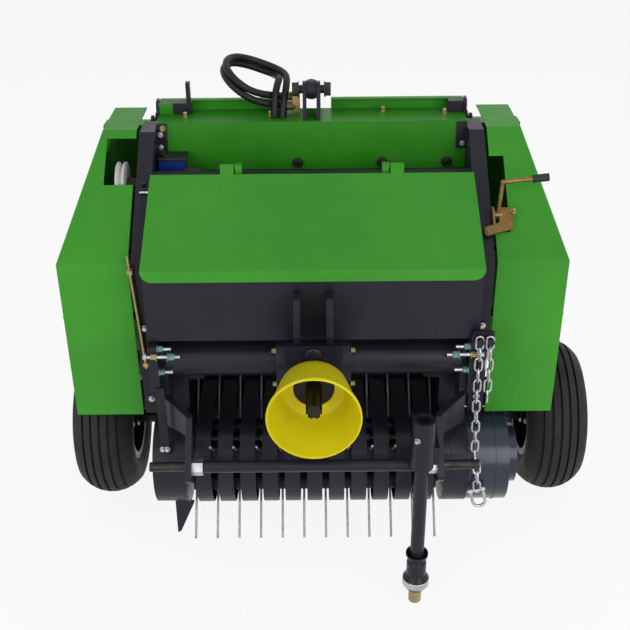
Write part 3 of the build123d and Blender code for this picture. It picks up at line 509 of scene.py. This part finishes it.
# Where a node changes from one finish to the next, in metres
TINE_ROOT = 0.033  # from the reel's axis
GRIP_LENGTH = 0.04  # from the lever's outer end
TENSION_LID, TENSION_LENGTH = 0.011, 0.063  # from the tension box's top, and from its left end to its tube
HITCH_NUT, HITCH_PIN = 0.249, 0.2745  # from the centre plane
PULLEY_WIDTH = 0.033  # from the pulley's left side to its pin
HINGE_BLOCK_Z = 930.5  # height of the twine box under its hinge blocks, in the drawing's millimetres


class BALER_OT_finishes(Operator):
    """Every finish, given to the nodes whose shape comes from the solid model"""

    bl_idname = "baler.finishes"
    bl_label = "Finishes"

    def execute(self, context):
        c = context.scene.baler_colours
        enamel("green_enamel", c.green, rough=0.44, gloss=0.04, dust=0.06)
        enamel("panel_enamel", c.panel, rough=0.4, gloss=0.12, dust=0.05)
        enamel("charcoal_enamel", c.charcoal, rough=0.36, gloss=0.14, dust=0.06)
        enamel("drum_enamel", c.drum, rough=0.22, gloss=0.6, dust=0.04)
        enamel("blue_enamel", c.blue, rough=0.34, gloss=0.2, dust=0.06)
        moulded("shield_plastic", c.yellow, rough=0.4, grain=500.0)
        moulded("pulley_plastic", c.pulley, rough=0.5, grain=500.0)
        moulded("black_plastic", BLACK, rough=0.45, grain=600.0)
        moulded("brown_tube", BROWN, rough=0.45, grain=600.0)
        moulded("greased_steel", GREASE, rough=0.5, grain=300.0)
        plated("yellow_zinc", light=c.zinc, dark=(0.26, 0.23, 0.13), rough=0.4, cloud=45.0)
        plated("dull_zinc", light=(0.27, 0.175, 0.06), dark=(0.16, 0.1, 0.035), rough=0.42, cloud=38.0)
        plated("green_zinc", light=(0.2, 0.4, 0.36), dark=(0.13, 0.2, 0.17), rough=0.4, cloud=60.0)
        plated("bright_zinc", light=c.steel, dark=shade(c.steel, 0.6), rough=0.36, cloud=60.0)
        plated("dark_steel", light=(0.06, 0.058, 0.056), dark=(0.02, 0.019, 0.018), rough=0.42, cloud=50.0)
        plated("spring_steel", light=(0.3, 0.3, 0.31), dark=(0.17, 0.17, 0.18), rough=0.38, cloud=60.0)
        tyre_rubber("tyre_rubber", c.rubber, ROAD_DUST)
        hose_cover("hose_cover", c.hose)

        for part in frame["record"]["subparts"]:
            paint(part["node"], [SLOT_FINISHES[part["material_slot"]]])
        paint("upper_panel", ["panel_enamel"])
        paint("pto_shaft", ["greased_steel"])
        paint("stand_pin", ["yellow_zinc"])

        reel_low, reel_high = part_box("pickup_reel")
        hub = (reel_low + reel_high) / 2
        paint("pickup_reel", ["charcoal_enamel", "spring_steel"],
              lambda p: int(math.hypot(p.y - hub.y, p.z - hub.z) > TINE_ROOT))
        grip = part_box("control_lever")[1].x - GRIP_LENGTH
        paint("control_lever", ["dull_zinc", "black_plastic"], lambda p: int(p.x > grip))
        low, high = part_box("tension_box")
        top, end = high.z - TENSION_LID, low.x + TENSION_LENGTH
        paint("tension_box", ["blue_enamel", "black_plastic", "brown_tube"],
              lambda p: 2 if p.x > end else int(p.z > top))
        paint("hitch_bar", ["charcoal_enamel", "bright_zinc", "dark_steel"],
              lambda p: int(abs(p.x - DATUM.x) > HITCH_NUT) + int(abs(p.x - DATUM.x) > HITCH_PIN))
        rail = mm(0, 0, HINGE_BLOCK_Z).z
        paint("twine_box", ["charcoal_enamel", "green_enamel"], lambda p: int(p.z > rail))
        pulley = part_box("twine_pulley")[0].x + PULLEY_WIDTH
        paint("twine_pulley", ["pulley_plastic", "dark_steel"], lambda p: int(p.x > pulley))
        return {"FINISHED"}


# Control points of the hoses, from the fitting to the hole in the panel, in the drawing's millimetres
HOSE_ROUTES = {
    "hose_upper": (
        (-80, 122, 1054), (-112, 108, 1060), (-149, 88, 1078), (-183, 93, 1103), (-204, 124, 1122),
        (-205, 162, 1132), (-186, 197, 1131), (-153, 219, 1119), (-115, 222, 1105), (-81, 207, 1095),
        (-62, 176, 1091), (-59, 141, 1083), (-63, 109, 1064), (-69, 88, 1031), (-71, 83, 990)),
    "hose_lower": (
        (-80, 113, 1034), (-113, 100, 1041), (-153, 87, 1060), (-189, 96, 1086), (-211, 127, 1106),
        (-212, 165, 1116), (-193, 200, 1115), (-160, 222, 1103), (-127, 226, 1090), (-98, 214, 1083),
        (-82, 187, 1082), (-77, 155, 1088), (-80, 126, 1087), (-86, 102, 1068), (-89, 88, 1034),
        (-89, 84, 990)),
}


class BALER_OT_hoses(Operator):
    """The two hydraulic hoses, each one loop from its fitting down into the panel"""

    bl_idname = "baler.hoses"
    bl_label = "Hoses"

    def execute(self, context):
        diameter = context.scene.baler_sizes.hose_diameter
        for node, route in HOSE_ROUTES.items():
            line = bpy.data.curves.new(node + "_line", "CURVE")
            line.dimensions = "3D"
            line.bevel_depth = diameter / 2
            line.bevel_resolution = 5
            line.use_fill_caps = True
            spline = line.splines.new("NURBS")
            spline.points.add(len(route) - 1)
            for point, place in zip(spline.points, route):
                point.co = (*mm(*place), 1.0)
            spline.order_u = 3
            spline.use_endpoint_u = True
            spline.resolution_u = 10
            piece = bpy.data.objects.new(node + "_cord", line)
            context.scene.collection.objects.link(piece)
            line.materials.append(FINISHES["hose_cover"])
            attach(piece, "frame")
            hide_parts(node)
        return {"FINISHED"}


# The tyre's section, in millimetres from the wheel's middle plane and from its axle
SHOULDERS, WALL_TOP, WALL_BULGE, WALL_STEPS = (55, 64, 70), 74, 8.8, 7
BEAD_OUTER, BEAD_INNER = (62, 117), (62, 104)
# Half widths of a groove at its foot, lip and edge, and how far the lip lies under the tread
GROOVE_FOOT, GROOVE_LIP, GROOVE_EDGE, LIP_DROP = 2.7, 3.2, 4.0, 0.7
RIB_POINTS = (0.35, 0.65)  # shares of the way from one groove to the next
TYRE_STEPS = 120
# Wheel nuts and valve, in metres
NUTS, NUT_OFFSET, NUT_CIRCLE, NUT_ACROSS, NUT_HEIGHT = 5, 0.004, 0.05, 0.017, 0.013
VALVE_TURN, VALVE_RADIUS, VALVE_OFFSET = 0.4, 0.097, 0.036


class BALER_OT_tyres(Operator):
    """Ribbed tyres with round crowns and bulged walls, and the nuts and valves of the wheels"""

    bl_idname = "baler.tyres"
    bl_label = "Tyres"

    def execute(self, context):
        sizes = context.scene.baler_sizes
        depth, pitch, count = sizes.groove_depth * 1000, sizes.groove_pitch * 1000, sizes.groove_count
        for side, way in (("left", -1), ("right", 1)):
            low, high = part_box("tyre_" + side)
            centre = (low + high) / 2
            radius, bend = (high.z - low.z) * 500, sizes.crown_radius * 1000

            def crown(x, drop=0.0):
                return x, radius - bend + math.sqrt(bend ** 2 - x ** 2) - drop

            wall = [crown(x) for x in SHOULDERS] + bow(crown(WALL_TOP), BEAD_OUTER, WALL_BULGE, WALL_STEPS)
            wall += [BEAD_OUTER, BEAD_INNER]
            tread = []
            for i in range(count):
                g = (i - (count - 1) / 2) * pitch
                tread += [crown(g - GROOVE_EDGE), crown(g - GROOVE_LIP, LIP_DROP),
                          crown(g - GROOVE_FOOT, depth), crown(g + GROOVE_FOOT, depth),
                          crown(g + GROOVE_LIP, LIP_DROP), crown(g + GROOVE_EDGE)]
                if i < count - 1:
                    tread += [crown(g + pitch * share) for share in RIB_POINTS]
            bm = bmesh.new()
            spun(bm, [(-x, r) for x, r in wall[::-1]] + tread + wall, centre, X, Z, TYRE_STEPS)
            piece = keep(f"tyre_{side}_ribbed", bm, "tyre_rubber", "wheel_" + side, 28.0)
            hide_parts("tyre_" + side)

            bm = bmesh.new()
            for i in range(NUTS):
                a = math.tau * (i + 0.25) / NUTS
                spot = Vector((way * NUT_OFFSET, NUT_CIRCLE * math.cos(a), NUT_CIRCLE * math.sin(a)))
                bolt(bm, centre + spot, (way, 0, 0), NUT_ACROSS, NUT_HEIGHT)
            keep(f"wheel_nuts_{side}", bm, "bright_zinc", "wheel_" + side)

            bm = bmesh.new()
            out, along = Vector((0, math.cos(VALVE_TURN), math.sin(VALVE_TURN))), Vector((way, 0, 0))
            foot = centre + out * VALVE_RADIUS + along * VALVE_OFFSET
            rod(bm, foot, foot - out * 0.01 + along * 0.006, 0.0045, 12, 0.0036)
            rod(bm, foot - out * 0.009 + along * 0.005, foot - out * 0.014 + along * 0.022, 0.0034, 12)
            keep(f"valve_{side}", bm, "black_plastic", "wheel_" + side)
        return {"FINISHED"}


DRIVE_AT = (0, 0, 562)
SHIELD_OUTLINE = (
    (-417, 45.5), (-417, 65), (-419, 70), (-424, 74.5), (-440, 78.5), (-470, 85), (-502, 92), (-518, 95.8),
    (-525, 98.6), (-531, 101), (-536, 101.4), (-538.5, 100), (-539, 98), (-537, 96.4), (-531, 95.6),
    (-520, 92.8), (-502, 88.2), (-470, 81.2), (-440, 74.8), (-427, 71.2), (-421.5, 67.5), (-420, 62),
    (-420, 45.5))


class BALER_OT_shield(Operator):
    """The flared yellow guard round the power take-off stub, with its rolled rim"""

    bl_idname = "baler.shield"
    bl_label = "Drive shield"

    def execute(self, context):
        bm = bmesh.new()
        spun(bm, SHIELD_OUTLINE, mm(*DRIVE_AT), Y, Z, 88)
        piece = keep("drive_shield_bell", bm, "shield_plastic", "frame", 50.0)
        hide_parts("pto_shield")
        return {"FINISHED"}


# The two strands of the safety chain from their pins, in the drawing's millimetres
CHAIN_STRANDS = (((366, -358, 651), (369, -360, 486), (375, -362, 340), (381, -376, 300), (386, -377, 222)),
                 ((389, -358, 651), (393, -360, 478)))
# Links and shackle, in metres
CHAIN_PITCH, LINK_LEG, LINK_BEND = 0.0276, 0.0085, 0.008
SHACKLE_DROP, SHACKLE_LEG, SHACKLE_BEND, SHACKLE_WIRE = 0.0108, 0.034, 0.015, 0.0075
SHACKLE_LEAN = math.radians(-14)
SHACKLE_EYE = (0.0107, 0.0193)  # from and to, along the pin
SHACKLE_PIN = (-0.023, 0.021)
EYE_RADIUS, PIN_RADIUS = 0.0072, 0.0036


class BALER_OT_chain(Operator):
    """The safety chain as round links in two strands, with the bow shackle on the long one"""

    bl_idname = "baler.chain"
    bl_label = "Safety chain"

    def execute(self, context):
        wire = context.scene.baler_sizes.chain_wire
        bm = bmesh.new()
        ends = []
        for strand in CHAIN_STRANDS:
            path = [mm(*point) for point in strand]
            runs = [(b - a).length for a, b in zip(path, path[1:])]
            for i in range(int(sum(runs) / CHAIN_PITCH)):
                far = (i + 0.5) * CHAIN_PITCH
                for a, b, run in zip(path, path[1:], runs):
                    if far <= run:
                        break
                    far -= run
                way = (b - a).normalized()
                lean = math.radians(10 * math.sin(i * 2.1))
                roll = Matrix.Rotation(math.pi / 2 * (i % 2) + lean, 4, "Z")
                at = a + way * far
                turn = Vector((0, 0, -1)).rotation_difference(way).to_matrix().to_4x4()
                link(bm, LINK_LEG, LINK_BEND, wire, Matrix.Translation(at) @ turn @ roll)
            ends.append(at)
        pin = ends[0] - Vector((0, 0, SHACKLE_DROP))
        place = Matrix.Translation(pin) @ Matrix.Rotation(SHACKLE_LEAN, 4, "Y")
        faces = hoop(bm, SHACKLE_LEG, SHACKLE_BEND, SHACKLE_WIRE)
        bmesh.ops.transform(bm, matrix=place @ Matrix.Rotation(math.pi, 4, "Y"),
                            verts=list({v for f in faces for v in f.verts}))
        for s in (-1, 1):
            inner, outer = (place @ Vector((s * x, 0, 0)) for x in SHACKLE_EYE)
            rod(bm, inner, outer, EYE_RADIUS, 16)
        left, right = (place @ Vector((x, 0, 0)) for x in SHACKLE_PIN)
        rod(bm, left, right, PIN_RADIUS, 12)
        piece = keep("safety_chain_links", bm, "bright_zinc", "frame", 60.0)
        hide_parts("safety_chain")
        return {"FINISHED"}


# Pieces made of bolts and bars: name, finish, body, slot
FASTENERS = {
    "green": ("flange_bolts", "green_zinc", "frame", "bright_steel"),
    "gold": ("housing_bolts", "yellow_zinc", "frame", "zinc_yellow"),
    "bright": ("frame_bolts", "bright_zinc", "frame", "bright_steel"),
    "gate": ("gate_bolts", "bright_zinc", "tailgate", "bright_steel"),
    "dark": ("pin_nuts", "dark_steel", "frame", "charcoal_paint"),
}
# Heads: fastener, width across flats and height in metres, way, places in the drawing's millimetres
MIRRORED_HEADS = (
    ("green", 0.013, 0.013, (-1, 0, 0), ((349, -336, 616), (349, -336, 556), (349, -236, 616))),
    ("green", 0.014, 0.016, (-1, 0, 0), ((325, -350, 604),)),
    ("gold", 0.012, 0.014, (1, 0, 0), ((349, -350, 604),)),
    ("gold", 0.01, 0.01, (1, 0, 0), ((84, -330, 606), (84, -330, 518))),
    ("bright", 0.011, 0.008, (1, 0, 0), ((372, -350, 604),)),
    ("bright", 0.01, 0.007, (0, -1, 0), ((388, -255, 624), (388, -255, 430))),
    ("bright", 0.01, 0.007, (1, 0, 0), ((572, -225, 640), (572, 120, 640))),
    ("gate", 0.013, 0.008, (1, 0, 0), ((530, 240, 720), (530, 240, 450), (530, 466, 640))),
)
SINGLE_HEADS = (
    ("gold", 0.009, 0.013, (0, 0, 1),
     ((-305, 92, 1012), (322, 104, 1012), (-99, 96, 1012), (174, 126, 1012))),
    ("gold", 0.009, 0.013, (0, -1, 0), ((-354, 44, 1000),)),
    ("gold", 0.008, 0.01, (0, -0.63, 0.777), ((454, -167, 869),)),
    ("bright", 0.0085, 0.008, (0, -1, 0),
     ((-361, 44, 984), (-362, 44, 953), (361, 44, 957), (-356, -350, 352), (-345, -350, 352))),
    ("bright", 0.0085, 0.008, (-0.54, -0.84, 0), ((223, -504, 481),)),
)
# Bars: fastener, radius in metres, sides, both ends in the drawing's millimetres
MIRRORED_BARS = (
    ("bright", 0.004, 12, (337, -336, 616), (318, -336, 616)),
    ("bright", 0.004, 12, (337, -336, 556), (318, -336, 556)),
    ("bright", 0.004, 12, (337, -236, 616), (318, -236, 616)),
    ("bright", 0.004, 12, (372, -350, 604), (297, -350, 604)),
    ("dark", 0.0165, 6, (46, 85, 1080), (33, 85, 1080)),
    ("dark", 0.0185, 20, (33, 85, 1080), (30, 85, 1080)),
)
SINGLE_BARS = (
    ("bright", 0.0028, 12, (-395, -114, 901), (-373, -114, 901)),
    ("dark", 0.0065, 20, (-389, -92, 914), (-389, -94.52, 917.108)),
)


class BALER_OT_fasteners(Operator):
    """Bolts, nuts and studs of the flanges, guards, panels and stand"""

    bl_idname = "baler.fasteners"
    bl_label = "Fasteners"

    def execute(self, context):
        meshes = {key: bmesh.new() for key in FASTENERS}
        for s, heads, bars in ((-1, MIRRORED_HEADS, MIRRORED_BARS), (1, MIRRORED_HEADS, MIRRORED_BARS),
                               (1, SINGLE_HEADS, SINGLE_BARS)):
            for key, across, height, (way, *rest), places in heads:
                for x, y, z in places:
                    bolt(meshes[key], mm(s * x, y, z), (s * way, *rest), across, height)
            for key, radius, sides, (x1, y1, z1), (x2, y2, z2) in bars:
                rod(meshes[key], mm(s * x1, y1, z1), mm(s * x2, y2, z2), radius, sides)
        for key, (name, finish, body, slot) in FASTENERS.items():
            keep(name, meshes[key], finish, body)
        return {"FINISHED"}


# The lid's sheet in the drawing's millimetres, its edges as (y, z)
LID_TOP, LID_FOLD = Vector((-85, 931)), Vector((-331, 806))
LID_LIP, LID_CORNER, CORNER_STEPS = 26, 25, 8
LID_THICKNESS = 0.002  # in metres
HINGE_AT, KNUCKLE_ENDS, KNUCKLE_BORE, KNUCKLE_RADIUS = (0, -66, 942), (180, 212), 4.4, 8
LEAF = ((-66.5, 950), (-72, 947.5), (-92, 929.5), (-90, 927), (-70, 943))
LEAF_INSET = 0.5


class BALER_OT_lid(Operator):
    """The twine box's lid as one folded sheet with rolled hinge knuckles"""

    bl_idname = "baler.lid"
    bl_label = "Lid"

    def execute(self, context):
        low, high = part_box("twine_box_lid")
        half, middle = (high.x - low.x) * 500, (low.x + high.x) / 2
        slope = (LID_FOLD - LID_TOP).length
        end = slope + LID_LIP - LID_CORNER
        turns = [math.pi / 2 * i / CORNER_STEPS for i in range(CORNER_STEPS + 1)]
        outline = [(half, 0), (-half, 0)]
        for s in (-1, 1):
            arc = [(s * (half - LID_CORNER + LID_CORNER * math.cos(a)), end + LID_CORNER * math.sin(a))
                   for a in turns]
            outline += arc if s < 0 else arc[::-1]
        bm = bmesh.new()
        bm.faces.new([bm.verts.new((x, down, 0)) for x, down in outline])
        bmesh.ops.bisect_plane(bm, geom=bm.verts[:] + bm.edges[:] + bm.faces[:], plane_co=(0, slope, 0),
                               plane_no=Y)
        for vert in bm.verts:
            across, down = vert.co.x / 1000, vert.co.y
            y, z = LID_TOP.lerp(LID_FOLD, min(down / slope, 1.0))
            vert.co = mm(0, y, z - max(down - slope, 0.0))
            vert.co.x = middle + across
        bmesh.ops.recalc_face_normals(bm, faces=bm.faces)
        bmesh.ops.solidify(bm, geom=bm.faces[:], thickness=LID_THICKNESS)
        for s in (-1, 1):
            a, b = sorted(s * x for x in KNUCKLE_ENDS)
            spun(bm, [(a, KNUCKLE_BORE), (a, KNUCKLE_RADIUS), (b, KNUCKLE_RADIUS), (b, KNUCKLE_BORE)],
                 mm(*HINGE_AT), X, Z, 24)
            prism(bm, [mm(a + LEAF_INSET, y, z) for y, z in LEAF], ((b - a - 2 * LEAF_INSET) / 1000, 0, 0))
        piece = keep("twine_box_lid_sheet", bm, "green_enamel", "twine_box_lid", 30.0)
        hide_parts("twine_box_lid")
        return {"FINISHED"}


# The tension box's lid: its underside in the drawing's millimetres, the rest in metres from the box's corners
BOX_LID_Z = 935
BOX_LID_MARGIN, BOX_LID_FRONT, BOX_LID_END = 0.003, 0.023, 0.067
BOX_LID_THICKNESS, BOX_LID_EDGE = 0.007, 0.002
# The twine tube and the guide eyes, in the drawing's millimetres; the collar in shares of the tube and metres
TUBE_START, TUBE_END = (-308, 4, 911), (-165, -22, 899.5)
COLLAR_START, COLLAR_STEP, COLLAR_END = 0.06, 0.3, 0.34
COLLAR_RADIUS, COLLAR_NECK, COLLAR_TIP = 0.0105, 0.0085, 0.0065
EYES = ((-34, 50, 910), (170, 50, 910), (326, 50, 910))
EYE_OUTLINE = ((0, 4), (0, 13), (-3, 13), (-4, 11), (-11, 10), (-14, 8), (-14, 5.5), (-12, 4))


class BALER_OT_twine(Operator):
    """The twine gear on the shelf: lid and collar of the tension box, and three guide eyes on the panel"""

    bl_idname = "baler.twine"
    bl_label = "Twine gear"

    def execute(self, context):
        low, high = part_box("tension_box")
        bm = bmesh.new()
        bottom = mm(0, 0, BOX_LID_Z).z
        near = Vector((low.x - BOX_LID_MARGIN, low.y + BOX_LID_FRONT, bottom))
        far = Vector((low.x + BOX_LID_END, high.y + BOX_LID_MARGIN, bottom + BOX_LID_THICKNESS))
        plate(bm, near, far, BOX_LID_EDGE)
        start = mm(*TUBE_START)
        along = mm(*TUBE_END) - start
        step = start + along * COLLAR_STEP
        rod(bm, start + along * COLLAR_START, step, COLLAR_RADIUS, 24)
        rod(bm, step, start + along * COLLAR_END, COLLAR_NECK, 24, COLLAR_TIP)
        for eye in EYES:
            spun(bm, EYE_OUTLINE, mm(*eye), Y, Z, 28)
        keep("twine_guides", bm, "black_plastic", "frame", 40.0)
        return {"FINISHED"}


# The right cover's back flange as (x, z), and its front stay, a charcoal plate put behind the slit as painted
# shade, in the drawing's millimetres
FLANGE = ((515, 440), (569.5, 440), (569.5, 785), (531, 889), (515, 889))
FLANGE_Y, FLANGE_THICKNESS = 192, 2.5
SHADE_STAY_X, SHADE_STAY_Y, SHADE_STAY_Z = (376, 440), (-236, -232), (388, 470)
SHEET_EDGE = 0.0008  # how far the edges of plain sheet are taken off, in metres


class BALER_OT_covers(Operator):
    """The back flange of each side cover, and a charcoal stay in front that is painted shade behind the
    cover's slit
    """

    bl_idname = "baler.covers"
    bl_label = "Side covers"

    def execute(self, context):
        for s, side in ((-1, "left"), (1, "right")):
            bm = bmesh.new()
            prism(bm, [mm(s * x, FLANGE_Y, z) for x, z in FLANGE], (0, FLANGE_THICKNESS / 1000, 0))
            keep(f"cover_flange_{side}", bm, "green_enamel", "frame")
            # The stay: a charcoal plate behind the slit by the cover, placed as painted shade so the slit
            # reads dark
            bm = bmesh.new()
            near, far = sorted(s * x for x in SHADE_STAY_X)
            plate(bm, mm(near, SHADE_STAY_Y[0], SHADE_STAY_Z[0]), mm(far, SHADE_STAY_Y[1], SHADE_STAY_Z[1]), SHEET_EDGE)
            keep(f"cover_shade_stay_{side}", bm, "charcoal_enamel", "frame")
        return {"FINISHED"}


# The pick-up, in the drawing's millimetres; the outline of the drum's band of painted shade is (x, radius)
REEL_AT = (0, -250, 261)
# the back sheet: a guessed charcoal pan behind the bands that also stands in for the shade between them
SHADE_BACK_SHEET = ((-316, -40, 141), (316, -37.5, 352))
TINE_ROWS, ROW_TURN = 4, 229  # the first row's angle is in degrees
BAR_CIRCLE, BAR_RADIUS, BAR_HALF = 0.066, 0.021, 0.296  # in metres
DISC_PLACES, DISC_HALF, DISC_BORE, DISC_RADIUS = (-270, -88, 88, 270), 2, 29, 88
SHADE_BAND_OUTLINE = ((318, 112), (318, 114.5), (319, 115.2), (364, 115.2), (365, 114.5), (365, 112))


class BALER_OT_pickup(Operator):
    """The pick-up's back sheet, a guessed pan that also stands in for the shade behind the bands, the bars
    and discs that carry its tines, and a dark band on the right drum painted as the arm's shadow
    """

    bl_idname = "baler.pickup"
    bl_label = "Pick-up"

    def execute(self, context):
        # A guessed charcoal pan behind the bands, placed partly as painted shade so that the slots between
        # the bands read dark
        bm = bmesh.new()
        low, high = SHADE_BACK_SHEET
        plate(bm, mm(*low), mm(*high), SHEET_EDGE)
        keep("pickup_shade_back_sheet", bm, "charcoal_enamel", "frame")

        bm = bmesh.new()
        hub, half = mm(*REEL_AT), Vector((BAR_HALF, 0, 0))
        for i in range(TINE_ROWS):
            turn = math.radians(ROW_TURN + 360 / TINE_ROWS * i)
            out = Vector((0, math.cos(turn), math.sin(turn))) * BAR_CIRCLE
            rod(bm, hub + out - half, hub + out + half, BAR_RADIUS, 20)
        for x in DISC_PLACES:
            a, b = x - DISC_HALF, x + DISC_HALF
            spun(bm, [(a, DISC_BORE), (a, DISC_RADIUS), (b, DISC_RADIUS), (b, DISC_BORE)], hub, X, Z, 48)
        keep("tine_bars", bm, "charcoal_enamel", "pickup_reel")

        # A charcoal band round the right drum's inner end: painted shade where the arm's shadow falls on the
        # drum
        bm = bmesh.new()
        spun(bm, SHADE_BAND_OUTLINE, hub, X, Z, 96)
        keep("drum_shade_band", bm, "charcoal_enamel", "frame")
        return {"FINISHED"}


# Small trim, in the drawing's millimetres; an outline is (along the axis, radius)
STRIP_END, STRIP_EDGE = ((-370, 109.5, 1012.5), (-336, 112, 1041)), 0.0006
CAP_AT, CAP_BOLT_AT = (0, 0, 608), (0, -360.5, 608)
CAP_OUTLINE = ((-351, 0.5), (-361, 0.5), (-361, 15), (-359, 18), (-351, 20))
STAND_AT = (237, -482, 0)
RING_OUTLINE = ((53, 29), (53, 30.6), (54.2, 31.4), (69.8, 31.4), (71, 30.6), (71, 29))


class BALER_OT_trim(Operator):
    """The end of the panel's raised strip, the gearbox's cap and the ring round the stand's foot"""

    bl_idname = "baler.trim"
    bl_label = "Trim"

    def execute(self, context):
        bm = bmesh.new()
        low, high = STRIP_END
        plate(bm, mm(*low), mm(*high), STRIP_EDGE)
        keep("strip_end", bm, "panel_enamel", "frame")

        bm = bmesh.new()
        spun(bm, CAP_OUTLINE, mm(*CAP_AT), Y, Z, 40)
        bolt(bm, mm(*CAP_BOLT_AT), (0, -1, 0), across=0.014, height=0.01)
        keep("gearbox_cap", bm, "charcoal_enamel", "frame")

        bm = bmesh.new()
        spun(bm, RING_OUTLINE, mm(*STAND_AT), Z, X, 48)
        keep("stand_ring", bm, "bright_zinc", "parking_stand")
        return {"FINISHED"}


PIECES = (BALER_OT_finishes, BALER_OT_hoses, BALER_OT_tyres, BALER_OT_shield, BALER_OT_chain,
          BALER_OT_fasteners, BALER_OT_lid, BALER_OT_twine, BALER_OT_covers, BALER_OT_pickup, BALER_OT_trim)


class BALER_PT_pieces(Panel):
    """Lists the baler's pieces in the sidebar"""

    bl_label = "Hay baler"
    bl_idname = "BALER_PT_pieces"
    bl_space_type = "VIEW_3D"
    bl_region_type = "UI"
    bl_category = "Baler"

    def draw(self, context):
        layout = self.layout
        for group in (context.scene.baler_colours, context.scene.baler_sizes):
            for name in group.__annotations__:
                layout.prop(group, name)
        for piece in (BALER_OT_stage, *PIECES):
            layout.operator(piece.bl_idname)


CLASSES = (BalerColours, BalerSizes, BALER_OT_stage, *PIECES, BALER_PT_pieces)


def register():
    for item in CLASSES:
        bpy.utils.register_class(item)
    bpy.types.Scene.baler_colours = PointerProperty(type=BalerColours)
    bpy.types.Scene.baler_sizes = PointerProperty(type=BalerSizes)


def unregister():
    del bpy.types.Scene.baler_sizes
    del bpy.types.Scene.baler_colours
    for item in reversed(CLASSES):
        bpy.utils.unregister_class(item)


def main():
    """Registers the add-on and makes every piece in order."""
    register()
    bpy.ops.baler.stage()
    bpy.ops.baler.finishes()
    bpy.ops.baler.hoses()
    bpy.ops.baler.tyres()
    bpy.ops.baler.shield()
    bpy.ops.baler.chain()
    bpy.ops.baler.fasteners()
    bpy.ops.baler.lid()
    bpy.ops.baler.twine()
    bpy.ops.baler.covers()
    bpy.ops.baler.pickup()
    bpy.ops.baler.trim()


if __name__ == "__main__":
    main()
